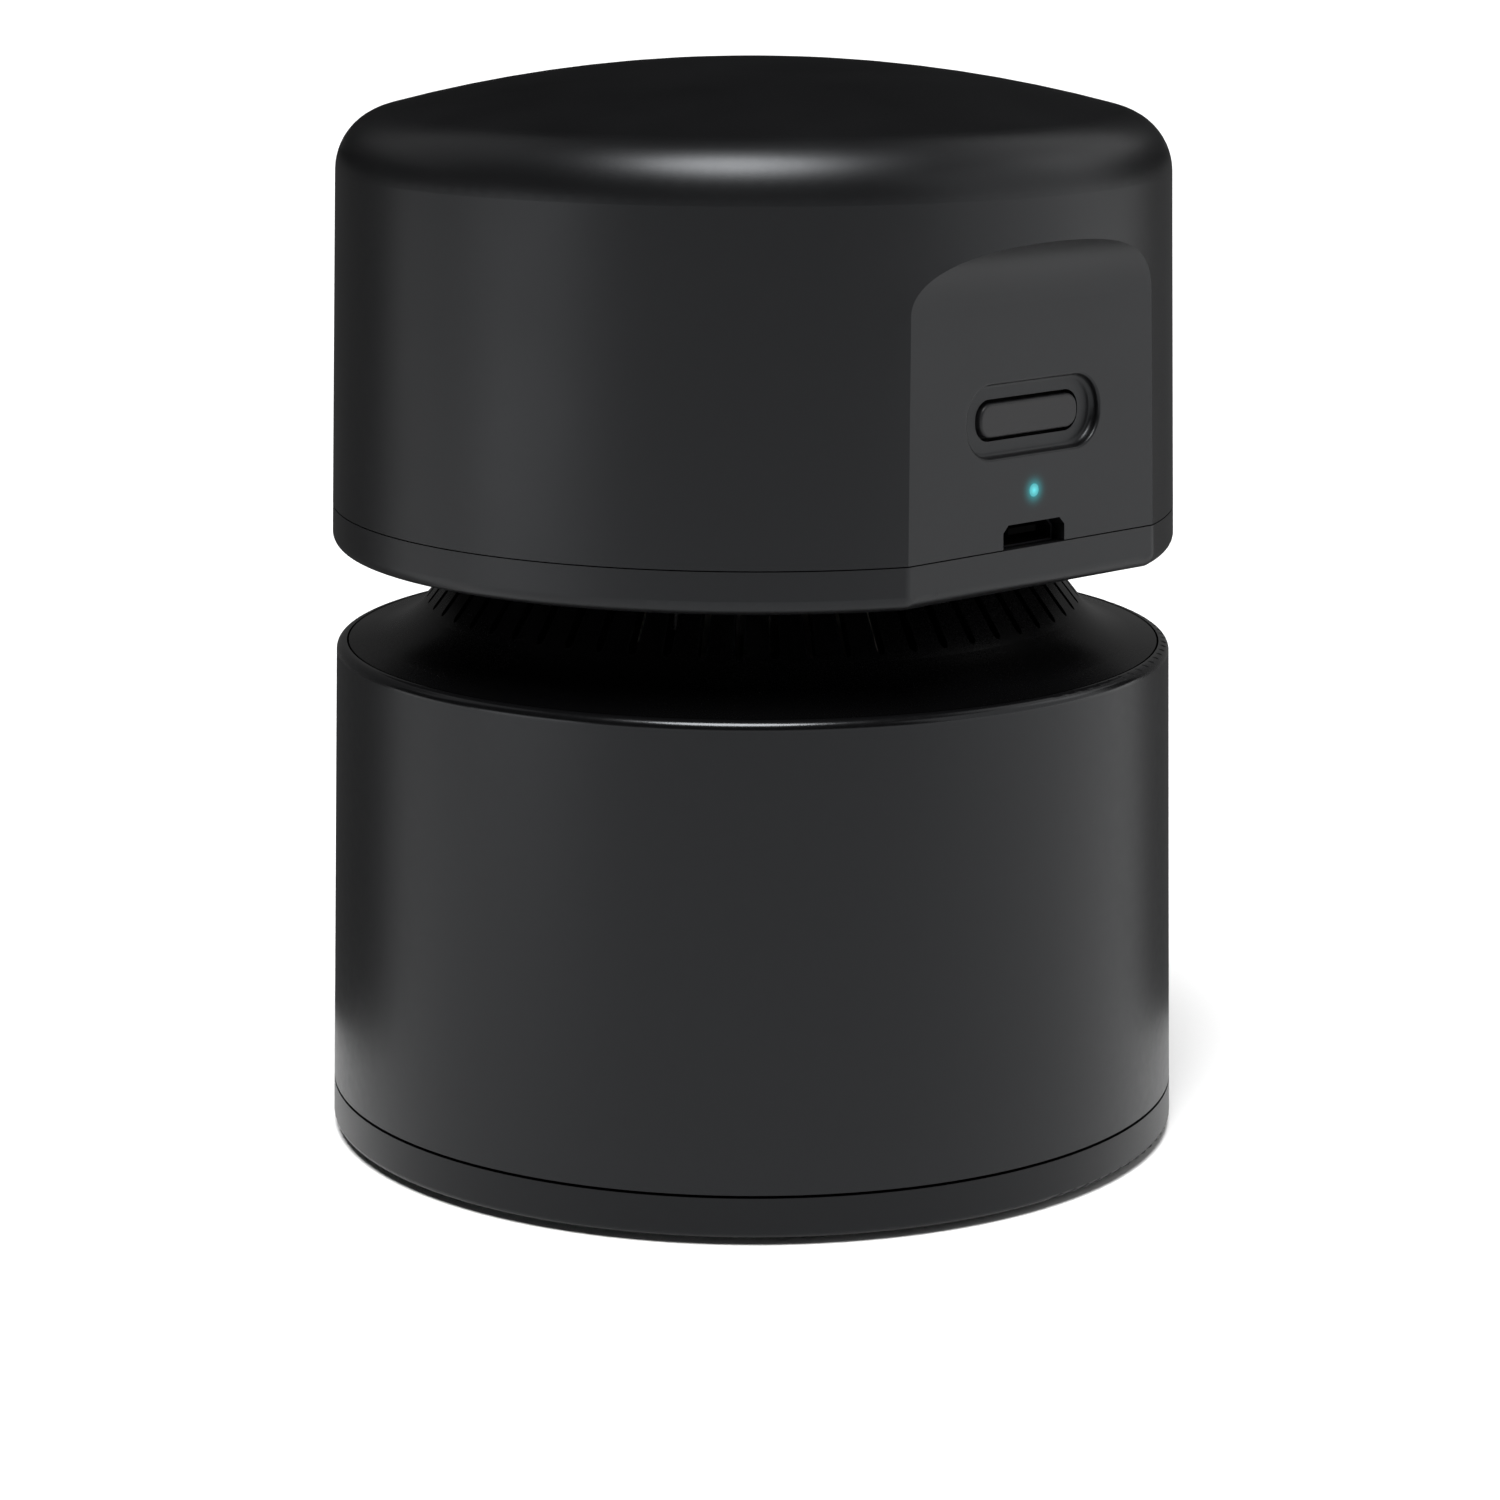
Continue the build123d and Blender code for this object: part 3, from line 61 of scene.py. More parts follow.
# ---- node trees, written as sums ----
class Wire:
    """An output socket that sums can be written with."""

    def __init__(self, graph, socket):
        self.graph = graph
        self.socket = socket

    def math(self, operation, *values):
        return self.graph.node("ShaderNodeMath", {"operation": operation}, dict(enumerate(values)))

    def __add__(self, other):
        return self.math("ADD", self, other)

    def __sub__(self, other):
        return self.math("SUBTRACT", self, other)

    def __mul__(self, other):
        return self.math("MULTIPLY", self, other)

    def __truediv__(self, other):
        return self.math("DIVIDE", self, other)

    def __pow__(self, other):
        return self.math("POWER", self, other)

    def __radd__(self, other):
        return self.math("ADD", other, self)

    def __rsub__(self, other):
        return self.math("SUBTRACT", other, self)

    def __rmul__(self, other):
        return self.math("MULTIPLY", other, self)

    def __rtruediv__(self, other):
        return self.math("DIVIDE", other, self)

    def __abs__(self):
        return self.math("ABSOLUTE", self)


class Graph:
    """A node tree being made. node() adds any node and gives one of its outputs."""

    def __init__(self, tree):
        self.tree = tree

    def node(self, kind, settings=None, inputs=None, output=0):
        """Add a node: its settings first, then the values or links of its sockets."""
        made = self.tree.nodes.new(kind)
        for key, value in (settings or {}).items():
            if key == "stops":
                self.set_stops(made.color_ramp, value)
            else:
                setattr(made, key, value)
        for key, value in (inputs or {}).items():
            self.feed(made.inputs[key], value)
        return Wire(self, made.outputs[output])

    def set_stops(self, ramp, stops):
        while len(ramp.elements) < len(stops):
            ramp.elements.new(1.0)
        for element, (place, colour) in zip(ramp.elements, stops):
            element.position = place
            element.color = (*colour, 1.0)

    def feed(self, socket, value):
        if isinstance(value, Wire):
            self.tree.links.new(value.socket, socket)
        else:
            socket.default_value = value


class Finish(Graph):
    """A material being made. steady() and varied() fill the main shader."""

    def __init__(self, name):
        self.material = bpy.data.materials.new(name)
        self.material.use_nodes = True
        super().__init__(self.material.node_tree)
        self.shader = self.tree.nodes["Principled BSDF"]

    def steady(self, **values):
        """Set the main shader's sockets to plain values, as in steady(roughness=0.4)."""
        for key, value in values.items():
            self.shader.inputs[SOCKETS[key]].default_value = value

    def varied(self, **values):
        """Link the main shader's sockets to what changes over the surface."""
        for key, value in values.items():
            self.feed(self.shader.inputs[SOCKETS[key]], value)

    def place(self):
        """Object coordinates, in metres."""
        return self.node("ShaderNodeTexCoord", output="Object")

    def axes(self):
        """X, Y and Z of the object coordinates, in millimetres."""
        split = self.node("ShaderNodeSeparateXYZ", inputs={"Vector": self.place()}).socket.node
        return [Wire(self, split.outputs[axis]) / MM for axis in "XYZ"]

    def stretched(self, *factors):
        """Object coordinates with each axis multiplied, to draw a pattern out or squeeze it."""
        return self.node("ShaderNodeVectorMath", {"operation": "MULTIPLY"}, {0: self.place(), 1: factors})

    def noise(self, size, detail=2.0, where=None):
        """Noise from 0 to 1 with features about size across, in millimetres."""
        inputs = {"Vector": where or self.place(), "Scale": 1 / (size * MM), "Detail": detail}
        return self.node("ShaderNodeTexNoise", inputs=inputs)

    def cells(self, size):
        """Distance from the nearest cell point of a cell pattern, size in millimetres."""
        inputs = {"Vector": self.place(), "Scale": 1 / (size * MM)}
        return self.node("ShaderNodeTexVoronoi", inputs=inputs, output="Distance")

    def distance(self, centre):
        """Distance in millimetres from a point given in millimetres."""
        inputs = {0: self.place(), 1: [c * MM for c in centre]}
        return self.node("ShaderNodeVectorMath", {"operation": "DISTANCE"}, inputs, output="Value") / MM

    def step(self, value, start, end):
        """0 before start and 1 after end."""
        inputs = {"Value": value, "From Min": start, "From Max": end}
        return self.node("ShaderNodeMapRange", inputs=inputs)

    def blend(self, share, low, high):
        """A colour between two colours."""
        inputs = {0: share, 6: (*low, 1.0) if isinstance(low, tuple) else low,
                  7: (*high, 1.0) if isinstance(high, tuple) else high}
        return self.node("ShaderNodeMix", {"data_type": "RGBA"}, inputs, output=2)

    def relief(self, height, depth):
        """A bump of depth millimetres that feeds the shader's normal."""
        inputs = {"Height": height, "Distance": depth * MM, "Strength": 1.0}
        self.varied(normal=self.node("ShaderNodeBump", inputs=inputs))


SOCKETS = {
    "colour": "Base Color", "roughness": "Roughness", "metallic": "Metallic", "normal": "Normal",
    "specular": "Specular IOR Level", "tint": "Specular Tint", "sheen": "Sheen Weight",
    "glow": "Emission Color", "glow_strength": "Emission Strength",
}


def spread_of(colour, share):
    """A darker and a lighter tone of a colour."""
    return tuple(c * (1 - share) for c in colour), tuple(c * (1 + share) for c in colour)


# ---- finishes: sizes in millimetres ----
SHELL = (0.0022, 0.0022, 0.0024)
SHELL_TINT = (0.93, 0.96, 1.0, 1.0)
SHELL_ROUGHNESS = 0.38
SHELL_SPECULAR = 0.28
RIM_RUBBED = 0.18           # how much less rough the cup's rim is
RIM_ROUND = 0.9             # radius of the rounding of the cup's rim
RIM_RING_R = 41.54          # radius of the ring that this rounding turns about
# colour of the glow painted on the panel round the lamp: painted light, not a lamp
PAINTED_GLOW_COLOUR = (0.02, 0.34, 0.37)
PAINTED_GLOW_R = 0.85              # reach of the glow painted on the panel round the lamp
LAMP_AT = (0, reach("led_light_pipe")[0][1], middle("led_light_pipe", 2))
LENS_MIDDLE_R = 0.50        # the bright middle of the lens fades out to this radius
FOLD_IN_R = 22.6            # dust is caught from here out to the tips of the folds
FOLD_OUT_R = 25.2
CELL_Z = middle("battery_cell", 2)
SLEEVE_HALF = 31.3          # past this distance from the cell's middle its ends begin
SLEEVE_DRAWN = 27.0         # it is drawn into wrinkles from here to its ends
SLEEVE_HOLE_R = 6.9         # hole at each end, where the can's metal shows
CORE_MIDDLE_Z = middle("motor_armature", 2)
CORE_HALF = 3.68            # half the height of the stack of sheets
SHEET_PITCH = 0.45
BRUSH_TRACK_Z = reach("motor_terminals")[0][2] + 0.2
SOCKET_BLACK = (0.003, 0.003, 0.003)
CONTACT_PITCH = 0.65
CONTACTS_HALF = 1.55        # half the width of the five contacts
CONTACT_START = 0.3         # from the tongue's tip
CONTACT_END = 4.0


def moulded_plastic(name, colour, roughness, grain=0.16, grain_depth=0.004, specular=0.5, spread=0.10):
    """Injection-moulded plastic: fine spark texture, slight unevenness of gloss and colour."""
    finish = Finish(name)
    finish.steady(specular=specular)
    cloud = finish.noise(14.0)
    fine = finish.noise(grain, detail=3.0)
    finish.varied(
        colour=finish.blend(cloud, *spread_of(colour, spread)),
        roughness=roughness + (cloud - 0.5) * 0.10 + (fine - 0.5) * 0.08,
    )
    finish.relief(fine, grain_depth)
    return finish


def soft_rubber(name, colour):
    """Moulded rubber: matt, a bloom of fine dust, small pits."""
    finish = Finish(name)
    finish.steady(specular=0.25)
    dust = finish.noise(1.6, detail=4.0)
    pits = finish.step(finish.cells(0.5), 0.05, 0.22)
    finish.varied(
        colour=finish.blend(dust ** 3, *spread_of(colour, 0.35)),
        roughness=0.78 + (dust - 0.5) * 0.2,
    )
    finish.relief(pits, 0.02)
    return finish


def rolled_metal(name, colour, roughness, grain=(1.0, 1.0, 14.0), depth=0.003):
    """Plated or rolled metal: lines drawn out along one axis and a few dull spots."""
    finish = Finish(name)
    finish.steady(metallic=1.0)
    lines = finish.noise(1.5, detail=4.0, where=finish.stretched(*grain))
    spots = finish.noise(3.5, detail=3.0)
    finish.varied(
        colour=finish.blend(spots, *spread_of(colour, 0.12)),
        roughness=roughness + (lines - 0.5) * 0.16 + (spots - 0.5) * 0.14,
    )
    finish.relief(lines, depth)
    return finish


def insulated_wire(name, colour):
    """Extruded wire skin: glossy, a little lumpy over the strands, with rubbed dull patches."""
    finish = Finish(name)
    rubbed = finish.noise(2.2, detail=3.0)
    strands = finish.noise(0.5, detail=1.0)
    finish.varied(
        colour=finish.blend(rubbed, *spread_of(colour, 0.15)),
        roughness=0.3 + (rubbed - 0.4) * 0.3,
    )
    finish.relief(strands, 0.02)
    return finish


def pleated_paper(name):
    """Filter paper: matted fibres, grey dust caught on the outer folds."""
    finish = Finish(name)
    finish.steady(specular=0.2)
    x, y, _ = finish.axes()
    radius = (x * x + y * y) ** 0.5
    caught = finish.step(radius, FOLD_IN_R, FOLD_OUT_R) * (0.35 + finish.noise(2.6, detail=4.0) * 0.6)
    fibres = finish.noise(0.6, detail=5.0, where=finish.stretched(1.0, 1.0, 0.3))
    clean = finish.blend(fibres, (0.74, 0.72, 0.66), (0.88, 0.87, 0.82))
    finish.varied(
        colour=finish.blend(caught, clean, (0.30, 0.28, 0.26)),
        roughness=0.85 + (fibres - 0.5) * 0.2,
    )
    finish.relief(fibres, 0.05)
    return finish


def open_foam(name):
    """Dark foam with open pores, painted darker in each pore's middle as shade in its hollow."""
    finish = Finish(name)
    finish.steady(specular=0.15)
    pores = finish.cells(0.75)
    finish.varied(
        # painted shade: darker where the relief dips, in the middle of each pore
        colour=finish.blend(finish.step(pores, 0.05, 0.5), (0.03, 0.03, 0.03), (0.14, 0.14, 0.14)),
        roughness=0.8 + pores * 0.2,
    )
    finish.relief(pores, 0.25)
    return finish


def cell_sleeve(name):
    """Shrink sleeve over the cell, open at both ends where the can's metal shows."""
    finish = Finish(name)
    x, y, z = finish.axes()
    from_axis = (y * y + (z - CELL_Z) ** 2) ** 0.5
    at_end = finish.step(abs(x), SLEEVE_HALF, SLEEVE_HALF + 0.1)
    metal = at_end * (1 - finish.step(from_axis, SLEEVE_HOLE_R, SLEEVE_HOLE_R + 0.2))
    wrinkles = finish.noise(2.0, detail=2.0, where=finish.stretched(0.25, 1.0, 1.0))
    drawn = finish.step(abs(x), SLEEVE_DRAWN, SLEEVE_DRAWN + 4.0) * wrinkles
    sleeve = finish.blend(wrinkles, (0.035, 0.24, 0.12), (0.05, 0.32, 0.17))
    finish.varied(
        colour=finish.blend(metal, sleeve, (0.62, 0.62, 0.63)),
        metallic=metal,
        roughness=0.26 + wrinkles * 0.12 + metal * 0.05,
    )
    finish.relief(drawn, 0.12)
    return finish


def board_laminate(name):
    """Solder mask over copper runs: the runs show a tone lighter and stand up a little."""
    finish = Finish(name)
    upright = finish.node(
        "ShaderNodeVectorRotate", {"rotation_type": "X_AXIS"},
        {"Vector": finish.place(), "Angle": math.pi / 2},
    )
    runs = finish.node(
        "ShaderNodeTexBrick", {"offset": 0.37, "squash": 1.4},
        {"Vector": upright, "Scale": 1.0, "Mortar Size": 0.28 * MM, "Mortar Smooth": 0.3,
         "Brick Width": 4.6 * MM, "Row Height": 1.7 * MM},
        output="Fac",
    )
    weave = finish.noise(0.8, detail=2.0)
    mask = finish.blend(weave, (0.012, 0.10, 0.045), (0.018, 0.14, 0.06))
    finish.varied(
        colour=finish.blend(runs, mask, (0.035, 0.24, 0.10)),
        roughness=0.32 + weave * 0.12,
    )
    finish.relief(runs, 0.03)
    return finish


def wound_armature(name):
    """Stacked steel sheets with enamelled copper wire above and below them."""
    finish = Finish(name)
    _, _, z = finish.axes()
    phase = z * (2 * math.pi / SHEET_PITCH)
    sheets = phase.math("SINE", phase) * 0.5 + 0.5
    copper = finish.step(abs(z - CORE_MIDDLE_Z), CORE_HALF, CORE_HALF + 0.06)
    rust = finish.noise(1.2, detail=4.0)
    steel = finish.blend(sheets, (0.22, 0.22, 0.22), (0.48, 0.47, 0.46))
    wire = finish.blend(finish.noise(0.35, detail=1.0), (0.42, 0.13, 0.05), (0.72, 0.30, 0.14))
    finish.steady(metallic=1.0)
    finish.varied(
        colour=finish.blend(copper, steel, wire),
        roughness=0.38 + rust * 0.2 - copper * 0.12,
    )
    finish.relief(sheets * (1 - copper) + finish.noise(0.35, detail=1.0) * copper, 0.05)
    return finish


def copper_segments(name):
    """Turned copper, darkened in a band where the brushes run."""
    finish = rolled_metal(name, (0.72, 0.36, 0.2), 0.3, grain=(1.0, 1.0, 20.0))
    _, _, z = finish.axes()
    track = 1 - finish.step(abs(z - BRUSH_TRACK_Z), 0.35, 0.6)
    finish.varied(colour=finish.blend(track, (0.70, 0.35, 0.19), (0.16, 0.11, 0.09)))
    return finish


def socket_insulator(name):
    """Black moulding whose tongue carries five gilt contacts on its underside."""
    finish = moulded_plastic(name, SOCKET_BLACK, 0.8, specular=0.0)
    x, y, z = finish.axes()
    across = x / CONTACT_PITCH
    from_contact = abs(across - across.math("ROUND", across)) * 2
    middle_z = middle("usb_insulator", 2)
    underside = 1 - finish.step(z, middle_z - 0.08, middle_z - 0.04)
    start = reach("usb_insulator")[0][1] + CONTACT_START
    end = reach("usb_insulator")[0][1] + CONTACT_END
    on_tongue = finish.step(y, start, start + 0.1) * (1 - finish.step(y, end, end + 0.1))
    within = 1 - finish.step(abs(x), CONTACTS_HALF, CONTACTS_HALF + 0.05)
    gilt = (1 - finish.step(from_contact, 0.45, 0.55)) * within * underside * on_tongue
    finish.varied(
        colour=finish.blend(gilt, SOCKET_BLACK, (0.55, 0.40, 0.16)),
        metallic=gilt,
    )
    return finish


def lit_lens(name):
    """Clear lens over a lit diode: brightest in the middle, deeper cyan towards its rim."""
    finish = Finish(name)
    finish.steady(roughness=0.25, glow_strength=1.0)
    away = finish.distance(LAMP_AT)
    hot = 1 - finish.step(away, 0.05, LENS_MIDDLE_R)
    finish.varied(
        colour=finish.blend(hot, (0.005, 0.03, 0.03), (0.01, 0.05, 0.05)),
        glow=finish.blend(hot, (0.03, 0.38, 0.42), (0.07, 0.70, 0.76)),
    )
    return finish


def shell_finish(name, gloss=1.0):
    """The satin black of the outer shells."""
    finish = moulded_plastic(name, SHELL, SHELL_ROUGHNESS, specular=SHELL_SPECULAR * gloss)
    finish.steady(tint=SHELL_TINT)
    return finish


def cup_finish(name):
    """The shell's finish, rubbed smooth and evenly rounded along the rim of the dust cup."""
    finish = shell_finish(name)
    x, y, z = finish.axes()
    radius = (x * x + y * y) ** 0.5
    ring_z = reach("cup_shell")[1][2] - RIM_ROUND
    rubbed = finish.step(z, ring_z - 0.15, ring_z + 0.15)
    grain = finish.noise(1.2, detail=3.0)
    finish.varied(roughness=SHELL_ROUGHNESS + (grain - 0.5) * 0.08 - rubbed * RIM_RUBBED)
    # the rim's own direction, out from the ring that its rounding turns about
    out = radius.math("MAXIMUM", radius - RIM_RING_R, 0.0) / radius
    up = z.math("MAXIMUM", z - ring_z, 0.0)
    away = finish.node("ShaderNodeCombineXYZ", inputs={"X": x * out, "Y": y * out, "Z": up})
    turned = finish.node(
        "ShaderNodeVectorTransform",
        {"vector_type": "NORMAL", "convert_from": "OBJECT", "convert_to": "WORLD"}, {"Vector": away})
    flat = finish.node("ShaderNodeNewGeometry", output="Normal")
    outside = finish.step(radius, RIM_RING_R - 0.1, RIM_RING_R - 0.06)
    on_rim = finish.step(z, ring_z, ring_z + 0.04) * outside
    facing = finish.node(
        "ShaderNodeMix", {"data_type": "VECTOR"}, {0: on_rim, 4: flat, 5: turned}, output=1)
    bump = finish.shader.inputs["Normal"].links[0].from_node
    finish.feed(bump.inputs["Normal"], facing)
    return finish


def cover_finish_with_painted_glow(name):
    """The shell's finish with a glow painted on the panel round the lamp, as painted light where the
    lamp's light would spill.
    """
    finish = shell_finish(name)
    away = finish.distance(LAMP_AT)
    # painted light: the shell itself glows, fading with distance from the lamp
    painted_glow = ((away / PAINTED_GLOW_R) ** 2) * -1
    finish.varied(glow=finish.blend(painted_glow.math("EXPONENT", painted_glow), (0.0, 0.0, 0.0), PAINTED_GLOW_COLOUR))
    finish.steady(glow_strength=1.0)
    return finish


FINISHES = {
    "dome_cover": cover_finish_with_painted_glow("satin black cover"),
    "head_base": shell_finish("satin black shell"),
    "base_plate": shell_finish("satin black base", gloss=0.75),
    # the collar's colour and gloss are set far below the shell's: black plastic, darkened further as
    # painted shade under the head
    "vent_collar": moulded_plastic("deep black collar", (0.0009, 0.0009, 0.0010), 0.26, specular=0.10),
    "cup_shell": cup_finish("satin black cup"),
    "power_button": moulded_plastic("button black", (0.011, 0.011, 0.012), 0.42, specular=0.25),
    "led_light_pipe status_led": lit_lens("lit lens"),
    "usb_shell": rolled_metal("black nickel", (0.008, 0.008, 0.009), 0.55),
    "usb_insulator": socket_insulator("socket insulator"),
    "fan_plate battery_cradle inlet_duct": moulded_plastic(
        "inner moulding", (0.02, 0.02, 0.022), 0.55, grain=0.4, grain_depth=0.01, specular=0.3),
    "filter_frame": moulded_plastic("filter moulding", (0.045, 0.045, 0.05), 0.5, grain=0.3),
    "filter_pleats": pleated_paper("filter paper"),
    "filter_gasket cup_gasket motor_gasket": soft_rubber("soft rubber", (0.035, 0.035, 0.035)),
    "battery_foam": open_foam("open foam"),
    "battery_cell": cell_sleeve("cell sleeve"),
    "battery_tabs": rolled_metal("nickel strip", (0.66, 0.64, 0.60), 0.28, grain=(1.0, 1.0, 0.1)),
    "battery_lead_positive motor_lead_positive": insulated_wire("red wire", (0.5, 0.018, 0.015)),
    "battery_lead_negative motor_lead_negative": insulated_wire("black wire", (0.014, 0.014, 0.014)),
    "control_board": board_laminate("board laminate"),
    "charge_chip push_switch": moulded_plastic("chip moulding", (0.02, 0.02, 0.021), 0.5, grain=0.1),
    "switch_plunger": moulded_plastic("plunger white", (0.72, 0.72, 0.70), 0.45),
    "motor_can": rolled_metal("zinc plated can", (0.58, 0.58, 0.60), 0.32),
    "motor_magnets": moulded_plastic(
        "sintered magnet", (0.05, 0.05, 0.052), 0.7, grain=0.25, grain_depth=0.03),
    "motor_bushings": rolled_metal(
        "sintered bronze", (0.50, 0.33, 0.16), 0.5, grain=(1.0, 1.0, 1.0), depth=0.02),
    "motor_end_cap": moulded_plastic("end cap nylon", (0.68, 0.66, 0.58), 0.5),
    "motor_terminals": rolled_metal("tinned brass", (0.66, 0.58, 0.38), 0.35, grain=(1.0, 1.0, 0.15)),
    "motor_shaft": rolled_metal("ground steel", (0.62, 0.62, 0.63), 0.2, grain=(1.0, 1.0, 20.0)),
    "motor_armature": wound_armature("wound armature"),
    "motor_commutator": copper_segments("copper segments"),
    "impeller": moulded_plastic(
        "impeller nylon", (0.62, 0.61, 0.57), 0.48, grain=0.6, grain_depth=0.01, spread=0.16),
    "head_screws motor_screws cradle_screws collar_screws fan_plate_screws board_screws": rolled_metal(
        "dark plated screw", (0.20, 0.20, 0.21), 0.36, grain=(1.0, 1.0, 1.0)),
}
for nodes, finish in FINISHES.items():
    for node in nodes.split():
        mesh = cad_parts[node].data
        mesh.materials.clear()
        mesh.materials.append(finish.material)


# ---- what repeats: bristles and the filter's net ----
class Recipe(Graph):
    """Geometry Nodes with named sizes. close() ends the tree, grow() makes a plain mesh of it."""

    def __init__(self, name, **sizes):
        super().__init__(bpy.data.node_groups.new(name, "GeometryNodeTree"))
        face = self.tree.interface
        face.new_socket("Geometry", in_out="INPUT", socket_type="NodeSocketGeometry")
        face.new_socket("Geometry", in_out="OUTPUT", socket_type="NodeSocketGeometry")
        self.names = {key: face.new_socket(key, in_out="INPUT", socket_type="NodeSocketFloat").identifier
                      for key in sizes}
        self.sizes = sizes
        self.entry = self.tree.nodes.new("NodeGroupInput")

    def given(self, key):
        return Wire(self, self.entry.outputs[key])

    def random(self, kind, low, high, seed):
        output = {"FLOAT": 1, "FLOAT_VECTOR": 0}[kind]
        first = {"FLOAT": 2, "FLOAT_VECTOR": 0}[kind]
        inputs = {first: low, first + 1: high, "Seed": seed}
        return self.node("FunctionNodeRandomValue", {"data_type": kind}, inputs, output=output)

    def close(self, geometry, material):
        whole = self.node("GeometryNodeRealizeInstances", inputs={"Geometry": geometry})
        dressed = self.node("GeometryNodeSetMaterial", inputs={"Geometry": whole, "Material": material})
        self.feed(self.tree.nodes.new("NodeGroupOutput").inputs[0], dressed)

    def grow(self, name, base):
        """Run the tree on a base mesh and keep the result as a plain mesh object."""
        holder = bpy.data.objects.new(name + "_base", base)
        bpy.context.scene.collection.objects.link(holder)
        growth = holder.modifiers.new("growth", "NODES")
        growth.node_group = self.tree
        for key, identifier in self.names.items():
            growth[identifier] = self.sizes[key]
        seen = holder.evaluated_get(bpy.context.evaluated_depsgraph_get())
        mesh = bpy.data.meshes.new_from_object(seen)
        mesh.name = name
        bpy.data.objects.remove(holder)
        grown = bpy.data.objects.new(name, mesh)
        bpy.context.scene.collection.objects.link(grown)
        return grown


def mesh_of(name, points, faces):
    """A mesh from points in millimetres."""
    mesh = bpy.data.meshes.new(name)
    mesh.from_pydata([[c * MM for c in point] for point in points], [], faces)
    mesh.update()
    return mesh


def on_circle(radius, angle, z):
    """A point on a level circle about the drum's axis."""
    return (radius * math.cos(angle), radius * math.sin(angle), z)


BRISTLE_SPARE = 0.04        # room kept above the roots and under the tips
BRISTLE_ROOT_Z = reach("bristle_strips")[1][2] - BRISTLE_SPARE
BRISTLE_LENGTH = BRISTLE_ROOT_Z - BRISTLE_SPARE
BRISTLE_IN_R = 34.85
BRISTLE_OUT_R = 36.55
BRISTLE_GAP = 5.6
BRISTLE_STRIPS = 4


def bristle_bed():
    """Flat ring segments at the top of the groove, from which the bristles hang."""
    points, faces = [], []
    half_gap = BRISTLE_GAP / 2 / BRISTLE_IN_R
    steps = 24
    for strip in range(BRISTLE_STRIPS):
        start = math.pi / 4 + strip * math.pi / 2 + half_gap
        sweep = math.pi / 2 - 2 * half_gap
        first = len(points)
        for step in range(steps + 1):
            angle = start + sweep * step / steps
            points.append(on_circle(BRISTLE_IN_R, angle, BRISTLE_ROOT_Z))
            points.append(on_circle(BRISTLE_OUT_R, angle, BRISTLE_ROOT_Z))
        for step in range(steps):
            a = first + 2 * step
            faces.append((a, a + 1, a + 3, a + 2))
    return mesh_of("bristle_bed", points, faces)


def bristles(material):
    """Square tapered hairs, hung from random points of the bed and splayed a little."""
    recipe = Recipe("bristle strip", Density=13.0e6, Thickness=0.085 * MM,
                    Length=BRISTLE_LENGTH * MM, Splay=0.10)
    roots = recipe.node(
        "GeometryNodeDistributePointsOnFaces", {"distribute_method": "RANDOM"},
        {"Mesh": recipe.given("Geometry"), "Density": recipe.given("Density"), "Seed": 7},
        output="Points",
    )
    bristle = recipe.node(
        "GeometryNodeMeshCone", {"fill_type": "NGON"},
        {"Vertices": 4, "Side Segments": 2, "Fill Segments": 1,
         "Radius Top": recipe.given("Thickness"), "Radius Bottom": recipe.given("Thickness") * 0.7,
         "Depth": recipe.given("Length")}, output="Mesh",
    )
    drop = recipe.node("ShaderNodeCombineXYZ", inputs={"Z": recipe.given("Length") * -1})
    hung = recipe.node("GeometryNodeTransform", inputs={"Geometry": bristle, "Translation": drop})
    turn = recipe.random("FLOAT_VECTOR", (-1.0, -1.0, -30.0), (1.0, 1.0, 30.0), 3)
    tilt = recipe.node(
        "ShaderNodeVectorMath", {"operation": "SCALE"}, {0: turn, "Scale": recipe.given("Splay")},
    )
    length = recipe.random("FLOAT", 0.93, 1.0, 5)
    field = recipe.node(
        "GeometryNodeInstanceOnPoints",
        inputs={"Points": roots, "Instance": hung, "Rotation": tilt, "Scale": length},
        output="Instances",
    )
    recipe.close(field, material)
    return recipe.grow("bristles", bristle_bed())


NET_THREAD_R = 0.11
NET_R = reach("filter_mesh")[1][0] - 0.14
NET_LOW_Z = reach("filter_mesh")[0][2] + NET_THREAD_R
NET_TOP_Z = reach("filter_mesh")[1][2] - NET_THREAD_R


def net_grid():
    """Open tube of square meshes that the threads follow."""
    around, up = 110, 12
    points, faces = [], []
    for row in range(up + 1):
        z = NET_LOW_Z + (NET_TOP_Z - NET_LOW_Z) * row / up
        points += [on_circle(NET_R, 2 * math.pi * step / around, z) for step in range(around)]
    for row in range(up):
        for step in range(around):
            following = (step + 1) % around
            a, b = row * around + step, row * around + following
            faces.append((a, b, b + around, a + around))
    return mesh_of("net_grid", points, faces)


def filter_net(material):
    """Threads along the edges of the net's grid."""
    recipe = Recipe("woven net", Thread=NET_THREAD_R * MM)
    runs = recipe.node("GeometryNodeMeshToCurve", inputs={"Mesh": recipe.given("Geometry")})
    thread = recipe.node(
        "GeometryNodeCurvePrimitiveCircle", inputs={"Resolution": 4, "Radius": recipe.given("Thread")},
    )
    woven = recipe.node(
        "GeometryNodeCurveToMesh", inputs={"Curve": runs, "Profile Curve": thread, "Fill Caps": True},
    )
    recipe.close(woven, material)
    return recipe.grow("filter_net", net_grid())


def nylon(name, colour, roughness):
    """Drawn nylon thread: even, slightly glossy, paler where dust clings."""
    finish = Finish(name)
    finish.steady(specular=0.4, sheen=0.2)
    dust = finish.noise(0.9, detail=3.0)
    finish.varied(
        colour=finish.blend(dust ** 2, *spread_of(colour, 0.3)),
        roughness=roughness + (dust - 0.5) * 0.15,
    )
    finish.relief(finish.noise(0.2, detail=1.0), 0.004)
    return finish


brush = bristles(nylon("bristle nylon", (0.020, 0.020, 0.022), 0.42).material)
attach(brush, "cup")
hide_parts("bristle_strips")

net = filter_net(nylon("net thread", (0.16, 0.16, 0.17), 0.5).material)
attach(net, "filter")
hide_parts("filter_mesh")

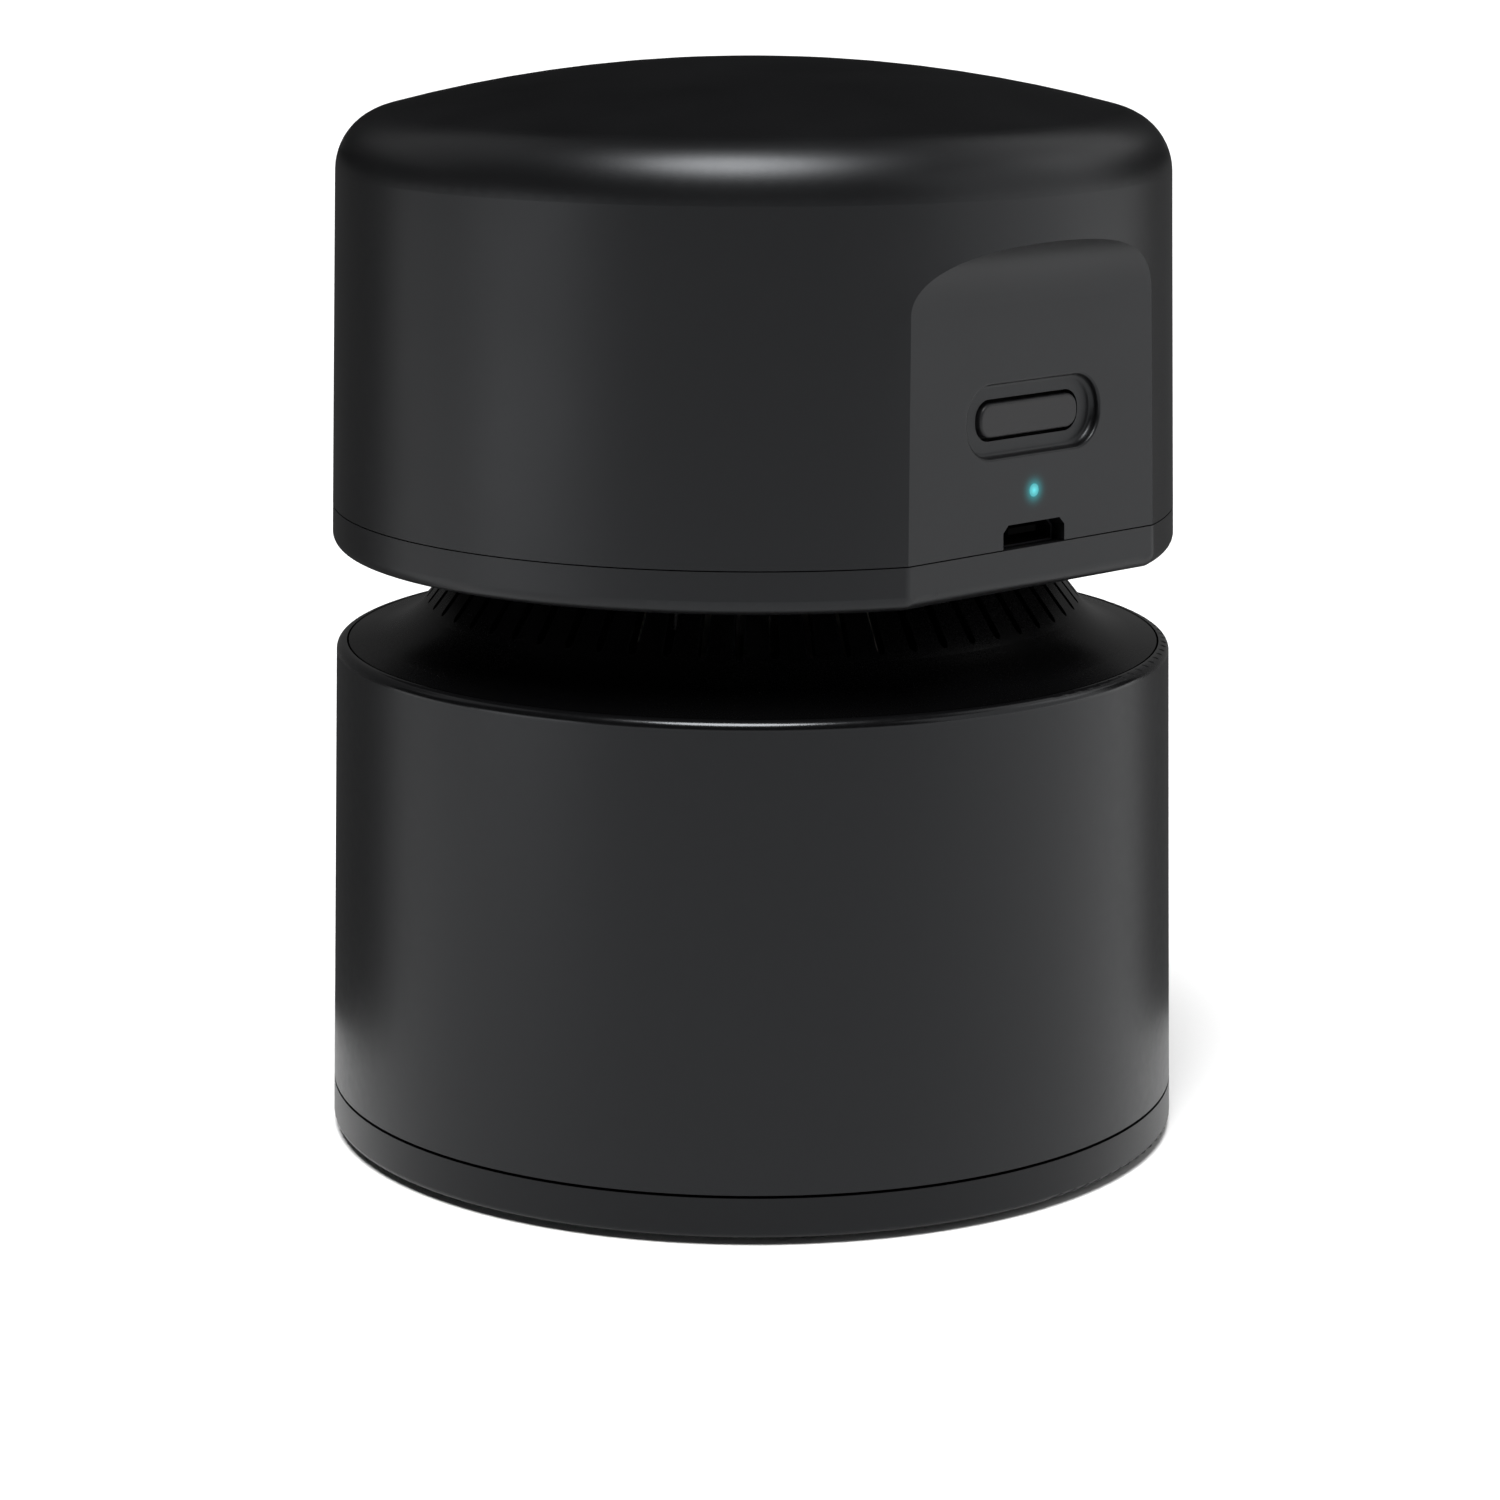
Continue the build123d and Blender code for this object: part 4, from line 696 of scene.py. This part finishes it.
# ---- camera ----
IMAGE = 1500
CAMERA_TURN = math.radians(-43.3)
CAMERA_PITCH = math.radians(11.5)
CAMERA_ROLL = math.radians(0.12)
CAMERA_AWAY = 424.6 * MM
CAMERA_HEIGHT = 135.46 * MM
FOCAL_PIXELS = 4226.5
PRINCIPAL = (752.7, 648.0)
SENSOR = 36.0

view = bpy.data.cameras.new("camera")
view.sensor_width = SENSOR
view.lens = FOCAL_PIXELS / IMAGE * SENSOR
view.shift_x = (IMAGE / 2 - PRINCIPAL[0]) / IMAGE
view.shift_y = (PRINCIPAL[1] - IMAGE / 2) / IMAGE
view.clip_start = 0.01
camera = bpy.data.objects.new("camera", view)
camera.location = (
    math.sin(CAMERA_TURN) * CAMERA_AWAY,
    -math.cos(CAMERA_TURN) * CAMERA_AWAY,
    CAMERA_HEIGHT,
)
aim = Euler((math.pi / 2 - CAMERA_PITCH, 0, CAMERA_TURN)).to_matrix()
camera.rotation_euler = (aim @ Matrix.Rotation(CAMERA_ROLL, 3, "Z")).to_euler()
bpy.context.scene.collection.objects.link(camera)
bpy.context.scene.camera = camera


# ---- stage: plain paper floor, dim room, soft lamps ----
FLOOR_REACH = 8.0
FLOOR_TONE = (0.72, 0.72, 0.72)
ROOM = (0.004, 0.004, 0.004, 1.0)
LAMP_AIM_Z = 60 * MM


def floor():
    """Plain white paper."""
    mesh = bpy.data.meshes.new("floor")
    corners = [(-FLOOR_REACH, -FLOOR_REACH, 0), (FLOOR_REACH, -FLOOR_REACH, 0),
               (FLOOR_REACH, FLOOR_REACH, 0), (-FLOOR_REACH, FLOOR_REACH, 0)]
    mesh.from_pydata(corners, [], [(0, 1, 2, 3)])
    plane = bpy.data.objects.new("floor", mesh)
    bpy.context.scene.collection.objects.link(plane)
    paper = Finish("studio paper")
    paper.steady(roughness=0.9, specular=0.0)
    weave = paper.noise(0.9, detail=3.0)
    paper.varied(colour=paper.blend(weave, *spread_of(FLOOR_TONE, 0.01)))
    mesh.materials.append(paper.material)


def way_to(turn, rise):
    """Direction to a lamp. turn is degrees to the right of the camera, seen from the object."""
    angle = CAMERA_TURN + math.radians(turn)
    rise = math.radians(rise)
    return Vector((math.sin(angle) * math.cos(rise), -math.cos(angle) * math.cos(rise), math.sin(rise)))


def painted_reflection_card(name, turn, distance, width, height, tone):
    """Dim glowing grey sheet beside the object, seen only in its gloss: it paints a darker reflection on
    the object's sides.
    """
    out = way_to(turn, 0) * distance
    along = Vector((-out.y, out.x, 0)).normalized() * width / 2
    up = Vector((0, 0, height))
    corners = [out - along, out + along, out + along + up, out - along + up]
    mesh = bpy.data.meshes.new(name)
    mesh.from_pydata(corners, [], [(0, 1, 2, 3)])
    sheet = bpy.data.objects.new(name, mesh)
    for kind in ("camera", "diffuse", "transmission", "shadow"):
        setattr(sheet, "visible_" + kind, False)
    bpy.context.scene.collection.objects.link(sheet)
    grey = Finish(name + " grey")
    glow = grey.node("ShaderNodeEmission", inputs={"Color": (tone, tone, tone, 1.0)})
    grey.feed(grey.tree.nodes["Material Output"].inputs["Surface"], glow)
    mesh.materials.append(grey.material)


def hang(name, data, way, distance):
    """Place a lamp so that it faces the middle of the object."""
    lamp = bpy.data.objects.new(name, data)
    lamp.location = Vector((0, 0, LAMP_AIM_Z)) + way * distance
    lamp.rotation_mode = "QUATERNION"
    lamp.rotation_quaternion = (-way).to_track_quat("-Z", "Y")
    lamp.visible_camera = False
    bpy.context.scene.collection.objects.link(lamp)


def soft_lamp(name, turn, rise, distance, width, height, power):
    """Square-cornered lamp with an even face, in metres and watts."""
    data = bpy.data.lights.new(name, "AREA")
    data.shape = "RECTANGLE"
    data.size = width
    data.size_y = height
    data.energy = power
    hang(name, data, way_to(turn, rise), distance)


def sun_lamp(name, turn, rise, spread, strength):
    """Far lamp that lights everything alike. spread is its width in the sky, in degrees."""
    data = bpy.data.lights.new(name, "SUN")
    data.angle = math.radians(spread)
    data.energy = strength
    hang(name, data, way_to(turn, rise), 1.0)


floor()
world = bpy.data.worlds.new("room")
world.use_nodes = True
dim = world.node_tree.nodes["Background"]
dim.inputs["Color"].default_value = ROOM
dim.inputs["Strength"].default_value = 1.0
bpy.context.scene.world = world
bpy.context.scene.view_settings.view_transform = "Standard"

sun_lamp("key lamp", -9, 68, 30, 5.9)
soft_lamp("left lamp", -59, -1, 0.45, 0.25, 0.12, 0.2)
soft_lamp("upper left lamp", -118, 42, 0.45, 0.35, 0.3, 0.12)
soft_lamp("right lamp", 79, 20, 0.75, 0.86, 0.7, 2.05)
soft_lamp("upper right lamp", 118, 42, 0.45, 0.35, 0.3, 0.3)
# painted reflections: two glowing grey sheets, hidden from all but gloss, darken the reflections on the
# object's sides
painted_reflection_card("left card", -127, 0.063, 0.105, 0.1, 0.10)
painted_reflection_card("right card", 138, 0.063, 0.1, 0.1, 0.15)
